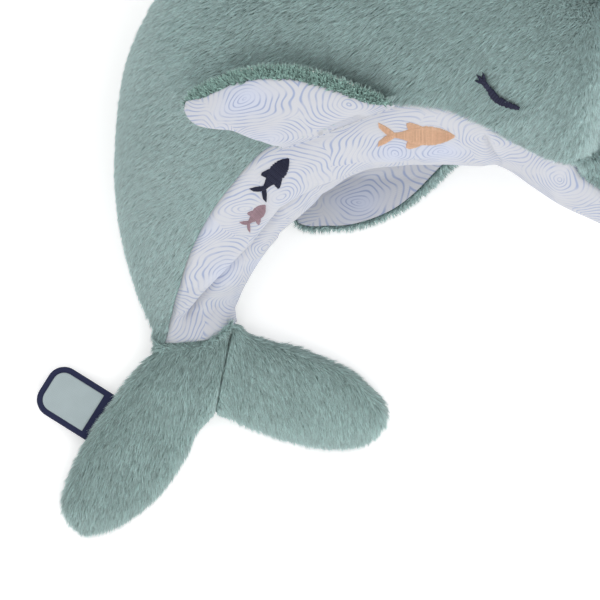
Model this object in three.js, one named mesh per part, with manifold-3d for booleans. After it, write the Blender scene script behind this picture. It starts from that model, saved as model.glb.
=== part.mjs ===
// A plush dolphin lying on its left side: plush side panels and a printed jersey belly panel over fibre
// filling, two flippers, a dorsal fin, a tail fluke of two lobes, embroidered eyes and fish, and a label.
// Millimetres, +Z up. The toy lies on z = 0 with its head to +X, its back to +Y and its right side upward.
import * as THREE from "three";
import { mergeVertices } from "three/addons/utils/BufferGeometryUtils.js";
import Module from "manifold-3d";

// Cloth and the clearances between pieces
const PLUSH = 4;
const PRINT = 1;
const FLIPPER_PLUSH = 2.2;
const SEAM_GAP = 0.4;
const FILL_GAP = 0.3;
const SEAT_GAP = 0.5;
const WAD_GAP = 0.06; // between two wads, in ring spacings
const PINCH = 2.2; // a section's half width, in plush thicknesses, below which the cloth thins
const LEAST_INSIDE = 0.4; // share of a thin leaf that its cloth leaves for the filling

// Mesh fineness: rings along and steps round each form
const BODY_RINGS = 38;
const SIDE_STEPS = 8;
const BELLY_STEPS = 6;
const LEAF_RINGS = 9;
const LEAF_STEPS = 6;
const STITCH_RINGS = 4;
const STITCH_STEPS = 3;

// Sections of the body from the tail seam to the tip of the beak. back and belly are points of its two
// outlines on the table plane, width is its thickness off the table, under is the height of its lowest
// point, below zero where its weight presses it flat, and near and far are the angles of the belly
// seams round the section, counted in degrees from the back over the upper side.
const BODY = [
  { back: [-73.5, -20], belly: [-33.5, -11.5], width: 4, under: 5, near: 44, far: 168 },
  { back: [-77, -13], belly: [-31.5, -4.5], width: 20, under: -1, near: 58, far: 175 },
  { back: [-83.5, 2.5], belly: [-28, 4], width: 42, under: -2, near: 78, far: 190 },
  { back: [-92, 36], belly: [-16, 23.5], width: 68, under: -2.5, near: 95, far: 205 },
  { back: [-94, 75], belly: [0.5, 40], width: 94, under: -3, near: 103, far: 215 },
  { back: [-85, 127.5], belly: [15, 53.5], width: 112, under: -3, near: 117, far: 220 },
  { back: [-50, 180], belly: [28.5, 61], width: 120, under: -3, near: 131, far: 222 },
  { back: [10, 206.5], belly: [47.5, 65], width: 122, under: -3, near: 127, far: 222 },
  { back: [75, 205], belly: [70, 67], width: 118, under: -1, near: 126, far: 222 },
  { back: [122.5, 182.5], belly: [90, 66], width: 110, under: 3, near: 127, far: 223 },
  { back: [153, 153], belly: [101, 65.5], width: 102, under: 6, near: 133, far: 225 },
  { back: [162.5, 132.5], belly: [115, 56.5], width: 92, under: 10, near: 135, far: 225 },
  { back: [161.5, 108.5], belly: [125.5, 49.5], width: 76, under: 15, near: 118, far: 242 },
  { back: [153.5, 79], belly: [132.5, 45.5], width: 54, under: 25, near: 92, far: 268 },
  { back: [160, 65], belly: [144.5, 40], width: 48, under: 28, near: 90, far: 270 },
  { back: [172.5, 53.5], belly: [160, 33.5], width: 41, under: 31, near: 90, far: 270 },
  { back: [181, 43.5], belly: [174, 32], width: 27, under: 38, near: 90, far: 270 },
  { back: [182.5, 38.5], belly: [181.5, 36.5], width: 4, under: 49, near: 90, far: 270 },
];
const FILLING_RINGS = [1, 10, 20, 29, 37];
const FILLING_NAMES = ["tail_filling", "chest_filling", "head_filling", "beak_filling"];

// A flipper's outline, along its sewn root from the rear end and outward from it, the leading edge first
const FLIPPER = [
  { a: [63, 0], b: [0, 0], swell: 0.3 },
  { a: [57, 7.5], b: [-4, 3], swell: 0.75 },
  { a: [46, 18], b: [-9, 7], swell: 1 },
  { a: [31, 30], b: [-15, 12.5], swell: 1 },
  { a: [14, 39], b: [-22, 18.5], swell: 1 },
  { a: [-4, 43.5], b: [-28, 22.5], swell: 0.95 },
  { a: [-21, 43.5], b: [-34, 26.5], swell: 0.9 },
  { a: [-33.5, 40.5], b: [-38.5, 31.5], swell: 0.7 },
  { a: [-38, 37], b: [-39, 35.5], swell: 0.3 },
];
const FLIPPER_RISE = 2.6;
const FLIPPER_SAG = 3.4;
const RIGHT_ROOT = [-10, 76];
const RIGHT_ROOT_TURN = 21;
const LEFT_ROOT = [27, 80];
const LEFT_ROOT_TURN = 4;
const LEFT_ROOT_HEIGHT = 14.6;
const LEFT_DROOP = 24;

// The dorsal fin's outline, the leading edge first, rising from inside the back
const FIN = [
  { a: [69, 203.5], b: [6, 201], swell: 0.08 },
  { a: [66, 209.5], b: [8.5, 208], swell: 0.09 },
  { a: [62.5, 214], b: [10, 212.5], swell: 0.45 },
  { a: [57, 220], b: [11.2, 217], swell: 0.85 },
  { a: [49, 228], b: [11.5, 223], swell: 1 },
  { a: [38, 237], b: [10, 230], swell: 0.95 },
  { a: [26, 244.5], b: [6, 237], swell: 0.85 },
  { a: [14, 249], b: [2, 243.5], swell: 0.65 },
  { a: [4.5, 249.5], b: [0.5, 247.5], swell: 0.3 },
];
const FIN_HALF_THICKNESS = 9;
const FIN_STATION = 7; // the section of the body whose middle height the fin stands at
const FIN_GAP = 0.85;

// The fluke's two lobes, the outer edge first, and the height of the seam round them
const RIGHT_FLUKE = [
  { a: [-72.9, -21], b: [-34.1, -12.8], swell: 0.14 },
  { a: [-77.5, -28], b: [-35.6, -22], swell: 0.75 },
  { a: [-87, -39.5], b: [-39.2, -40], swell: 1 },
  { a: [-97, -53], b: [-43.3, -55.2], swell: 1 },
  { a: [-105, -66], b: [-50, -65.5], swell: 1 },
  { a: [-111.5, -78.5], b: [-56.5, -78], swell: 1 },
  { a: [-116.5, -91], b: [-65.5, -93], swell: 0.95 },
  { a: [-120, -103], b: [-78.5, -107], swell: 0.85 },
  { a: [-117.5, -113], b: [-93.5, -116.5], swell: 0.6 },
  { a: [-109, -119], b: [-105, -119.2], swell: 0.25 },
];
const LEFT_FLUKE = [
  { a: [-32.6, -11.5], b: [-41.9, -56.2], swell: 0.14 },
  { a: [-26, -15], b: [-35.5, -59.5], swell: 0.7 },
  { a: [-16, -19], b: [-26, -64], swell: 1 },
  { a: [-3, -22], b: [-12, -69], swell: 1 },
  { a: [11, -27.5], b: [2, -72.5], swell: 1 },
  { a: [24, -33.5], b: [17, -74], swell: 0.95 },
  { a: [34.5, -42], b: [30, -73.5], swell: 0.85 },
  { a: [42, -50.5], b: [40, -68.5], swell: 0.6 },
  { a: [45, -57], b: [44.5, -60], swell: 0.25 },
];
const FLUKE_RISE = 11;
const FLUKE_SAG = 8.5;
const FLUKE_SEAM_HEIGHT = 7;

// Embroidery: an eye of one arc and three lashes, and fish of a body, two tail lobes and two fins
const STITCH_RISE = 1.1;
const STITCH_SAG = 0.15;
const EYE_ARC = [
  { a: [88.5, 107], b: [92.5, 109.5], swell: 0.5 },
  { a: [92.3, 102], b: [96, 105], swell: 1 },
  { a: [98.3, 97.2], b: [101, 101], swell: 1 },
  { a: [105, 94.6], b: [106.3, 98.4], swell: 0.9 },
  { a: [110.5, 94], b: [111, 96], swell: 0.6 },
  { a: [115.5, 94.3], b: [115.5, 95.3], swell: 0.3 },
];
const EYE_LASHES = [[93, 105, 86.5, 108.5], [92.5, 106.5, 87.8, 112.6], [94.5, 104.5, 91.2, 113.6]];
const LASH_WIDTH = 2.4;
const FISH = [
  { name: "orange_fish", nose: [76, 81], turn: 1, length: 38.5, height: 10.5, color: 0xd5a581 },
  { name: "navy_fish", nose: [-6.5, 68.5], turn: 51, length: 24.5, height: 9.5, color: 0x2b2f47 },
  { name: "mauve_fish", nose: [-16, 45], turn: 46, length: 16.5, height: 6.5, color: 0xb08990 },
];

// The label: a tab sewn into the edge of a lobe, with a paler patch on its face
const LABEL_LENGTH = 32;
const LABEL_WIDTH = 27;
const LABEL_CORNER = 9;
const LABEL_TAB = 1;
const LABEL_PATCH = 0.4;
const LABEL_BORDER = 3;
const LABEL_ROOT = [-101.6, -58.6];
const LABEL_TURN = 148;

const wasm = await Module();
wasm.setup();
const UP = new THREE.Vector3(0, 0, 1);
const cloth = (color, roughness) => new THREE.MeshStandardMaterial({ color, roughness, metalness: 0 });
const plush = cloth(0x8a9e9c, 0.95);
const print = cloth(0xdfe3ea, 0.85);
const fibre = cloth(0xf2f0ea, 1);
const navyThread = cloth(0x2b2f47, 0.6);
const labelWeave = cloth(0xb4c4c0, 0.7);

// A smooth curve through rows of up to three numbers, over 0 to 1.
function curve(rows) {
  const points = rows.map(([x, y = 0, z = 0]) => new THREE.Vector3(x, y, z));
  const line = new THREE.CatmullRomCurve3(points, false, "centripetal");
  return (t) => line.getPoint(THREE.MathUtils.clamp(t, 0, 1));
}

// A closed mesh of points and triangles, its faces turned outward.
function closed(points, faces) {
  const geometry = new THREE.BufferGeometry().setFromPoints(points);
  const volume = faces.reduce((sum, [a, b, c]) => {
    return sum + points[a].dot(new THREE.Vector3().crossVectors(points[b], points[c]));
  }, 0);
  geometry.setIndex(faces.flatMap(([a, b, c]) => (volume > 0 ? [a, b, c] : [a, c, b])));
  return geometry;
}

// A sheet with thickness between two matching grids of points.
function sheet(outer, inner) {
  const rows = outer.length;
  const columns = outer[0].length;
  const half = rows * columns;
  const faces = [];
  const quad = (a, b, c, d) => faces.push([a, b, c], [a, c, d]);
  for (let i = 0; i < rows - 1; i++) {
    for (let j = 0; j < columns - 1; j++) {
      const k = i * columns + j;
      quad(k, k + 1, k + columns + 1, k + columns);
      quad(half + k, half + k + columns, half + k + columns + 1, half + k + 1);
    }
  }
  for (let i = 0; i < rows - 1; i++) {
    const k = i * columns;
    const e = k + columns - 1;
    quad(k, k + columns, half + k + columns, half + k);
    quad(e, half + e, half + e + columns, e + columns);
  }
  for (let j = 0; j < columns - 1; j++) {
    const e = half - columns + j;
    quad(j, half + j, half + j + 1, j + 1);
    quad(e, e + 1, half + e + 1, half + e);
  }
  return closed([...outer.flat(), ...inner.flat()], faces);
}

// A solid through closed rings, with a flat fan over each end.
function loft(rings) {
  const n = rings[0].length;
  const last = (rings.length - 1) * n;
  const points = rings.flat();
  const middle = (ring) => ring.reduce((sum, p) => sum.add(p), new THREE.Vector3()).divideScalar(n);
  points.push(middle(rings[0]), middle(rings[rings.length - 1]));
  const faces = [];
  for (let i = 0; i < rings.length - 1; i++) {
    for (let j = 0; j < n; j++) {
      const a = i * n + j;
      const b = i * n + ((j + 1) % n);
      faces.push([a, b, b + n], [a, b + n, a + n]);
    }
  }
  for (let j = 0; j < n; j++) {
    const k = (j + 1) % n;
    faces.push([points.length - 2, k, j], [points.length - 1, last + j, last + k]);
  }
  return closed(points, faces);
}

function toManifold(geometry) {
  const merged = mergeVertices(geometry.clone().deleteAttribute("normal").deleteAttribute("uv"), 1e-4);
  const vertProperties = new Float32Array(merged.attributes.position.array);
  const triVerts = new Uint32Array(merged.index.array);
  return new wasm.Manifold(new wasm.Mesh({ numProp: 3, vertProperties, triVerts }));
}

function fromManifold(solid) {
  const mesh = solid.getMesh();
  const geometry = new THREE.BufferGeometry();
  geometry.setAttribute("position", new THREE.BufferAttribute(mesh.vertProperties, 3));
  return geometry.setIndex(new THREE.BufferAttribute(mesh.triVerts, 1));
}

const joined = (parts) => fromManifold(wasm.Manifold.union(parts.map(toManifold)));
const cutBy = (part, tool) => fromManifold(toManifold(part).subtract(toManifold(tool)));
const steps = (from, to, count) => {
  return Array.from({ length: count + 1 }, (_, i) => from + ((to - from) * i) / count);
};

// The body: an oval section at every t from the tail seam (0) to the tip of the beak (1).
const backLine = curve(BODY.map((s) => s.back));
const bellyLine = curve(BODY.map((s) => s.belly));
const girth = curve(BODY.map((s) => [s.width, s.under]));
const seams = curve(BODY.map((s) => [s.near, s.far]));

function bodySection(t) {
  const back = backLine(t);
  const toBack = back.clone().sub(bellyLine(t)).normalize();
  const belly = bellyLine(t).addScaledVector(toBack, PRINT - PLUSH);
  const half = back.distanceTo(belly) / 2;
  const middle = back.clone().add(belly).multiplyScalar(0.5);
  const { x: width, y: under } = girth(t);
  return { toBack, half, middle, halfWidth: width / 2, lift: under + width / 2 };
}

function onSection(t, angle, sink) {
  const { toBack, half, middle, halfWidth, lift } = bodySection(t);
  const point = middle.clone().addScaledVector(toBack, (half - sink) * Math.cos(angle));
  return point.setZ(lift + (halfWidth - sink) * Math.sin(angle));
}

// A point of the body at a depth below the tips of the pile, the cloth thinning toward pinched ends.
function bodyPoint(t, angle, depth) {
  const step = 1e-3;
  const along = onSection(Math.min(t + step, 1), angle, 0).sub(onSection(Math.max(t - step, 0), angle, 0));
  const round = onSection(t, angle + step, 0).sub(onSection(t, angle - step, 0));
  const normal = round.cross(along).normalize();
  const { toBack, half, halfWidth } = bodySection(t);
  const sink = depth * Math.min(1, Math.min(half, halfWidth) / (PINCH * PLUSH));
  const forward = new THREE.Vector3(toBack.y, -toBack.x, 0);
  const point = onSection(t, angle, sink).addScaledVector(forward, -sink * normal.dot(forward));
  point.z = Math.max(point.z, sink);
  return { point, normal };
}

// Where a point of the table plane meets the body's section planes, as t and an angle on the upper side.
function bodyPlace(x, y) {
  const side = (t) => {
    const { toBack, middle } = bodySection(t);
    return (x - middle.x) * toBack.y - (y - middle.y) * toBack.x;
  };
  let best = { t: 0, offset: Infinity };
  for (const low of steps(0.02, 0.97, 120)) {
    let [a, b] = [low, low + 0.95 / 120];
    if (side(a) * side(b) > 0) continue;
    for (let i = 0; i < 30; i++) {
      const m = (a + b) / 2;
      if (side(a) * side(m) > 0) a = m;
      else b = m;
    }
    const { toBack, half, middle } = bodySection(a);
    const offset = ((x - middle.x) * toBack.x + (y - middle.y) * toBack.y) / half;
    if (Math.abs(offset) < Math.abs(best.offset)) best = { t: a, offset };
  }
  return { t: best.t, angle: Math.acos(THREE.MathUtils.clamp(best.offset, -1, 1)) };
}

const rad = THREE.MathUtils.degToRad;
function bodyAngles(t) {
  const { x: near, y: far } = seams(t);
  return {
    right: steps(0, rad(near), SIDE_STEPS),
    belly: steps(rad(near), rad(far), BELLY_STEPS),
    left: steps(rad(far), 2 * Math.PI, SIDE_STEPS + 2),
  };
}

// Half the seam's gap as an angle round the section.
function seamTrim(t, angle) {
  const { half, halfWidth } = bodySection(t);
  const arc = Math.hypot(half * Math.sin(angle), halfWidth * Math.cos(angle));
  return Math.min(0.3, SEAM_GAP / 2 / arc);
}

function bodyPanel(side, outerDepth) {
  const grid = (depth) => steps(0, 1, BODY_RINGS).map((t) => {
    const angles = bodyAngles(t)[side];
    const last = angles.length - 1;
    angles[0] += seamTrim(t, angles[0]);
    angles[last] -= seamTrim(t, angles[last]);
    return angles.map((angle) => bodyPoint(t, angle, depth).point);
  });
  return sheet(grid(outerDepth), grid(PLUSH));
}

function bodyRing(t, depth) {
  const { right, belly, left } = bodyAngles(t);
  const round = [...right, ...belly.slice(1), ...left.slice(1, -1)];
  return round.map((angle) => bodyPoint(t, angle, depth).point);
}

// A wad of filling between two of the panels' rings, with a gap to the next wad at either end.
function bodyWad(first, last) {
  const rings = steps(first, last, last - first);
  rings[0] += WAD_GAP;
  rings[rings.length - 1] -= WAD_GAP;
  return loft(rings.map((ring) => bodyRing(ring / BODY_RINGS, PLUSH + FILL_GAP)));
}

// The whole body as one solid, grown by a gap, which the pieces that reach into it are cut by.
const bodyHull = (gap) => loft(steps(0, 1, BODY_RINGS).map((t) => bodyRing(t, -gap)));

// A leaf sewn from two faces and laid on a surface: outlines, thickness above and below its seam.
class Leaf {
  constructor(outline, lay, rise, sag, rings = LEAF_RINGS, sectors = LEAF_STEPS) {
    this.edgeA = curve(outline.map((s) => s.a));
    this.edgeB = curve(outline.map((s) => s.b));
    this.swell = curve(outline.map((s) => [s.swell]));
    Object.assign(this, { lay, rise, sag, rings, sectors });
  }

  // A point at t from root to tip and an angle round the section, at a depth inside the leaf and a
  // gap below that.
  point(t, angle, depth, gap = 0) {
    const a = this.edgeA(t);
    const b = this.edgeB(t);
    const half = a.distanceTo(b) / 2;
    const across = a.clone().sub(b).normalize();
    const reach = (Math.max(half - depth, half * LEAST_INSIDE) - gap) * Math.cos(angle);
    const spot = a.add(b).multiplyScalar(0.5).addScaledVector(across, reach);
    const crown = (Math.sin(angle) > 0 ? this.rise : this.sag) * this.swell(t).x;
    const height = (Math.max(crown - depth, crown * LEAST_INSIDE) - gap) * Math.sin(angle);
    const { point, normal } = this.lay(spot.x, spot.y);
    point.addScaledVector(normal, height);
    point.z = Math.max(point.z, Math.min(depth, crown) + gap);
    return point;
  }

  // One face of cloth, the upper one or the lower one.
  face(upper, thickness) {
    const grid = (depth) => steps(0, 1, this.rings).map((t) => {
      const crown = (upper ? this.rise : this.sag) * this.swell(t).x;
      const trim = Math.min(0.3, SEAM_GAP / 2 / crown);
      const from = upper ? 0 : Math.PI;
      const angles = steps(from, from + Math.PI, this.sectors);
      angles[0] += trim;
      angles[this.sectors] -= trim;
      return angles.map((angle) => this.point(t, angle, depth));
    });
    return sheet(grid(0), grid(thickness));
  }

  // The filling between the faces, from one of the rings to short of the tip.
  filling(upperCloth, lowerCloth, first = 1) {
    const inside = steps(0, 1, this.rings).slice(first, -1);
    return this.rounds(inside, (upper) => (upper ? upperCloth : lowerCloth), FILL_GAP);
  }

  // The whole leaf as one solid.
  solid() {
    return this.rounds(steps(0, 1, this.rings), () => 0, 0);
  }

  rounds(along, depth, gap) {
    const round = steps(0, 2 * Math.PI, 2 * this.sectors).slice(0, -1);
    return loft(along.map((t) => round.map((angle) => {
      return this.point(t, angle, depth(Math.sin(angle) > 1e-6), gap);
    })));
  }
}

function piece(name, geometry, material) {
  const mesh = new THREE.Mesh(geometry, material);
  mesh.name = name;
  return mesh;
}

// A group of pieces that moves as one, with its hinge line kept beside it.
function limb(name, pieces, hinge = null) {
  const group = new THREE.Group();
  group.name = name;
  group.add(...pieces);
  group.userData.hinge = hinge;
  return group;
}

// Thread laid on the body: leaves on the table plane, carried up to the upper or the lower side.
function stitchLeaf(outline, depth, side = 1) {
  const lay = (x, y) => {
    const { t, angle } = bodyPlace(x, y);
    return bodyPoint(t, side * angle, depth - SEAT_GAP);
  };
  return new Leaf(outline, lay, STITCH_RISE, STITCH_SAG, STITCH_RINGS, STITCH_STEPS).solid();
}

function lash([x0, y0, x1, y1]) {
  const along = new THREE.Vector2(x1 - x0, y1 - y0).normalize();
  const side = new THREE.Vector2(-along.y, along.x).multiplyScalar(LASH_WIDTH / 2);
  const row = (f, width, swell) => {
    const x = THREE.MathUtils.lerp(x0, x1, f);
    const y = THREE.MathUtils.lerp(y0, y1, f);
    const [dx, dy] = [side.x * width, side.y * width];
    return { a: [x - dx, y - dy], b: [x + dx, y + dy], swell };
  };
  return [row(0, 1, 1), row(0.5, 0.9, 0.9), row(1, 0.15, 0.3)];
}

function eye(side) {
  const outlines = [EYE_ARC, ...EYE_LASHES.map(lash)];
  return joined(outlines.map((outline) => stitchLeaf(outline, 0, side)));
}

// A fish seen from its side, in shares of its length and height from the nose along the body.
function fish({ nose, turn, length, height }) {
  const spot = (along, up) => {
    const v = new THREE.Vector2(-along * length, up * height).rotateAround(new THREE.Vector2(), rad(turn));
    return [nose[0] + v.x, nose[1] + v.y];
  };
  const strip = (rows) => rows.map(([a0, u0, a1, u1, swell]) => {
    return { a: spot(a0, u0), b: spot(a1, u1), swell };
  });
  const trunk = [
    [0, 0.05, 0, -0.05, 0.4], [0.12, 0.3, 0.12, -0.3, 1], [0.3, 0.48, 0.3, -0.48, 1],
    [0.52, 0.4, 0.52, -0.4, 1], [0.72, 0.16, 0.72, -0.16, 0.9], [0.84, 0.1, 0.84, -0.1, 0.8],
  ];
  const tail = (s) => [
    [0.76, 0.06 * s, 0.8, -0.1 * s, 0.8],
    [0.88, 0.4 * s, 0.9, 0.06 * s, 0.9],
    [1, 0.64 * s, 0.99, 0.36 * s, 0.4],
  ];
  const fin = (s) => [
    [0.36, 0.34 * s, 0.6, 0.26 * s, 0.8],
    [0.46, 0.6 * s, 0.62, 0.46 * s, 0.8],
    [0.58, 0.76 * s, 0.63, 0.7 * s, 0.4],
  ];
  const strips = [trunk, tail(1), tail(-1), fin(1), fin(-1)];
  return joined(strips.map((rows) => stitchLeaf(strip(rows), PLUSH - PRINT)));
}

function flipperMeshes(side, leaf) {
  return [
    piece(`${side}_flipper_print_face`, leaf.face(true, PRINT), print),
    piece(`${side}_flipper_plush_face`, leaf.face(false, FLIPPER_PLUSH), plush),
    piece(`${side}_flipper_wadding`, leaf.filling(PRINT, FLIPPER_PLUSH), fibre),
  ];
}

// Turns a flipper's own outline to its place on the table plane.
function placed(outline, root, turn, outward) {
  const move = ([along, out]) => {
    const v = new THREE.Vector2(along, out * outward).rotateAround(new THREE.Vector2(), rad(turn));
    return [root[0] + v.x, root[1] + v.y];
  };
  return outline.map(({ a, b, swell }) => ({ a: move(a), b: move(b), swell }));
}

function hingeLine(leaf) {
  const from = leaf.point(0, Math.PI, 0);
  return { from, to: leaf.point(0, 0, 0) };
}

function rightFlipper() {
  const lay = (x, y) => {
    const { t, angle } = bodyPlace(x, y);
    return bodyPoint(t, angle, -SEAT_GAP - FLIPPER_SAG);
  };
  const outline = placed(FLIPPER, RIGHT_ROOT, RIGHT_ROOT_TURN, 1);
  const leaf = new Leaf(outline, lay, FLIPPER_RISE, FLIPPER_SAG);
  return limb("right_flipper", flipperMeshes("right", leaf), hingeLine(leaf));
}

// The left flipper droops from the seam under the body and lies out on the table.
function leftFlipper() {
  const outline = placed(FLIPPER, LEFT_ROOT, LEFT_ROOT_TURN, -1);
  const across = new THREE.Vector2(Math.sin(rad(LEFT_ROOT_TURN)), -Math.cos(rad(LEFT_ROOT_TURN)));
  const lay = (x, y) => {
    const out = (x - LEFT_ROOT[0]) * across.x + (y - LEFT_ROOT[1]) * across.y;
    const rise = Math.max(0, 1 - out / LEFT_DROOP);
    const low = FLIPPER_SAG;
    const height = low + (LEFT_ROOT_HEIGHT - low) * rise * rise;
    const slope = (-2 * (LEFT_ROOT_HEIGHT - low) * rise) / LEFT_DROOP;
    const normal = new THREE.Vector3(-slope * across.x, -slope * across.y, 1).normalize();
    return { point: new THREE.Vector3(x, y, height), normal };
  };
  const leaf = new Leaf(outline, lay, FLIPPER_RISE, FLIPPER_SAG);
  const pieces = flipperMeshes("left", leaf);
  for (const mesh of pieces) mesh.geometry = cutBy(mesh.geometry, bodyHull(SEAT_GAP));
  return limb("left_flipper", pieces, hingeLine(leaf));
}

const flat = (height) => (x, y) => ({ point: new THREE.Vector3(x, y, height), normal: UP.clone() });

function dorsalFin() {
  const height = bodySection(FIN_STATION / (BODY.length - 1)).lift;
  const leaf = new Leaf(FIN, flat(height), FIN_HALF_THICKNESS, FIN_HALF_THICKNESS);
  const pieces = [
    piece("dorsal_fin_right_face", cutBy(leaf.face(true, PLUSH), bodyHull(FIN_GAP)), plush),
    piece("dorsal_fin_left_face", cutBy(leaf.face(false, PLUSH), bodyHull(FIN_GAP)), plush),
    piece("dorsal_fin_filling", leaf.filling(PLUSH, PLUSH, 3), fibre),
  ];
  return limb("dorsal_fin", pieces, { from: leaf.point(0.12, Math.PI, 0), to: leaf.point(0.12, 0, 0) });
}

function flukeLobe(side, outline) {
  const leaf = new Leaf(outline, flat(FLUKE_SEAM_HEIGHT), FLUKE_RISE, FLUKE_SAG);
  const pieces = [
    piece(`${side}_fluke_upper_face`, leaf.face(true, PLUSH), plush),
    piece(`${side}_fluke_lower_face`, leaf.face(false, PLUSH), plush),
    piece(`${side}_fluke_filling`, leaf.filling(PLUSH, PLUSH), fibre),
  ];
  return limb(`${side}_fluke`, pieces, hingeLine(leaf));
}

// A flat tab with rounded outer corners, from its sewn end along X.
function tab(inset, thickness) {
  const half = LABEL_WIDTH / 2 - inset;
  const corner = LABEL_CORNER - inset;
  const end = LABEL_LENGTH - inset;
  const shape = new THREE.Shape();
  shape.moveTo(inset, -half);
  shape.lineTo(end - corner, -half);
  shape.absarc(end - corner, -half + corner, corner, -Math.PI / 2, 0);
  shape.absarc(end - corner, half - corner, corner, 0, Math.PI / 2);
  shape.lineTo(inset, half);
  return new THREE.ExtrudeGeometry(shape, { depth: thickness, bevelEnabled: false, curveSegments: 6 });
}

function label() {
  const back = piece("label_tab", tab(0, LABEL_TAB), navyThread);
  const patch = piece("label_patch", tab(LABEL_BORDER, LABEL_PATCH), labelWeave);
  patch.position.z = LABEL_TAB + FILL_GAP;
  const turn = rad(LABEL_TURN);
  const side = new THREE.Vector3(-Math.sin(turn), Math.cos(turn), 0).multiplyScalar(LABEL_WIDTH / 2);
  const root = new THREE.Vector3(...LABEL_ROOT, FLUKE_SEAM_HEIGHT);
  const group = limb("label", [back, patch], { from: root.clone().sub(side), to: root.clone().add(side) });
  group.position.set(...LABEL_ROOT, FLUKE_SEAM_HEIGHT - LABEL_TAB / 2);
  group.rotation.z = turn;
  return group;
}

function torso() {
  const wads = FILLING_NAMES.map((name, i) => {
    return piece(name, bodyWad(FILLING_RINGS[i], FILLING_RINGS[i + 1]), fibre);
  });
  return limb("torso", [
    piece("right_side_panel", bodyPanel("right", 0), plush),
    piece("left_side_panel", bodyPanel("left", 0), plush),
    piece("belly_panel", bodyPanel("belly", PLUSH - PRINT), print),
    ...wads,
    piece("right_eye_embroidery", eye(1), navyThread),
    piece("left_eye_embroidery", eye(-1), navyThread),
    ...FISH.map((kind) => piece(kind.name, fish(kind), cloth(kind.color, 0.6))),
  ]);
}

const dolphin = new THREE.Group();
dolphin.name = "plush_dolphin";
const flukes = [flukeLobe("right", RIGHT_FLUKE), flukeLobe("left", LEFT_FLUKE)];
dolphin.add(torso(), rightFlipper(), leftFlipper(), dorsalFin(), ...flukes, label());

// The middle of the toy's footprint goes to the origin.
dolphin.updateMatrixWorld(true);
const middle = new THREE.Box3().setFromObject(dolphin, true).getCenter(new THREE.Vector3());
dolphin.position.set(-middle.x, -middle.y, 0);

export default dolphin;
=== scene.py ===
"""A plush dolphin lying on its left side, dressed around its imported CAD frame.

Sage plush sides, a white printed jersey belly, embroidered eyes and fish, two flippers, a dorsal fin, a
fluke of two lobes and a woven label. Forms are worked out in the layout's millimetres, as the solids are,
with x to the head, y to the back and z off the table, and go into the meshes in metres.
"""

import logging
from dataclasses import dataclass, field
from enum import Enum
from typing import Callable

import bpy
import numpy as np
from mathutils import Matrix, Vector


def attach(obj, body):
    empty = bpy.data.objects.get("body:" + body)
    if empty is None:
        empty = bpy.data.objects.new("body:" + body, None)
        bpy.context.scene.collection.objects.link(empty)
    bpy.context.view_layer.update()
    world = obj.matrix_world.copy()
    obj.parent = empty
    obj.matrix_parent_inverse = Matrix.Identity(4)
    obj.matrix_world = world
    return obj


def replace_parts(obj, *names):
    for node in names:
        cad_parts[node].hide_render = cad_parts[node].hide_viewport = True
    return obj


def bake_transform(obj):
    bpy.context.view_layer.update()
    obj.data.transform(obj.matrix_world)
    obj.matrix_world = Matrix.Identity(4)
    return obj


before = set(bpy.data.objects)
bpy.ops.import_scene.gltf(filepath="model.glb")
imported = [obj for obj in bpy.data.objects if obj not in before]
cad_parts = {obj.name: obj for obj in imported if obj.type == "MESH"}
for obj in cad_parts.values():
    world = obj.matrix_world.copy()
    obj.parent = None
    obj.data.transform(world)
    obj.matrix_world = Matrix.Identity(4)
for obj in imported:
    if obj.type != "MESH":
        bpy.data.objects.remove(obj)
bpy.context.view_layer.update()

log = logging.getLogger("plush_dolphin")
Array = np.ndarray
Colour = tuple[float, float, float]
Lay = Callable[[Array], tuple[Array, Array]]
Piece, Material = bpy.types.Object, bpy.types.Material
Tree, Node, Socket = bpy.types.NodeTree, bpy.types.Node, bpy.types.NodeSocket
MM = 0.001
MIDDLE = np.array([25.0049, 65.1488, 0.0])  # the footprint's middle in the layout, the frame's origin


class Side(Enum):
    """The toy's own right side, which lies upward, and its left side."""

    RIGHT = "right"
    LEFT = "left"


# Curves and forms


def unit(v: Array) -> Array:
    """Vectors divided by their lengths, along the last axis."""
    return v / np.maximum(np.linalg.norm(v, axis=-1, keepdims=True), 1e-9)


def bearing(degrees: float) -> tuple[float, float]:
    """The cosine and the sine of an angle."""
    return np.cos(np.radians(degrees)), np.sin(np.radians(degrees))


def smooth(x: Array, low: float, high: float) -> Array:
    """A soft step from 0 at low to 1 at high: 3 s squared less 2 s cubed."""
    s = np.clip((np.asarray(x, float) - low) / (high - low), 0, 1)
    return s * s * (3 - 2 * s)


def waves(points: Array, length: float, seed: int, count: int = 12) -> Array:
    """A smooth random field: a sum of sine waves that run in random directions.

    Args:
        points: Places in millimetres, (n, 3).
        length: The usual wave length in millimetres.
        seed: The start of the random draws.
        count: How many waves are added.

    Returns:
        Values of about -1 to 1, (n,).
    """
    rng = np.random.default_rng(seed)
    ways = unit(rng.normal(size=(count, 3))) * (2 * np.pi / (length * rng.uniform(0.7, 1.5, (count, 1))))
    turns = points.reshape(-1, 3) @ ways.T + rng.uniform(0, 2 * np.pi, count)
    return (np.sin(turns).sum(1) / np.sqrt(2 * count)).reshape(points.shape[:-1])


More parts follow.
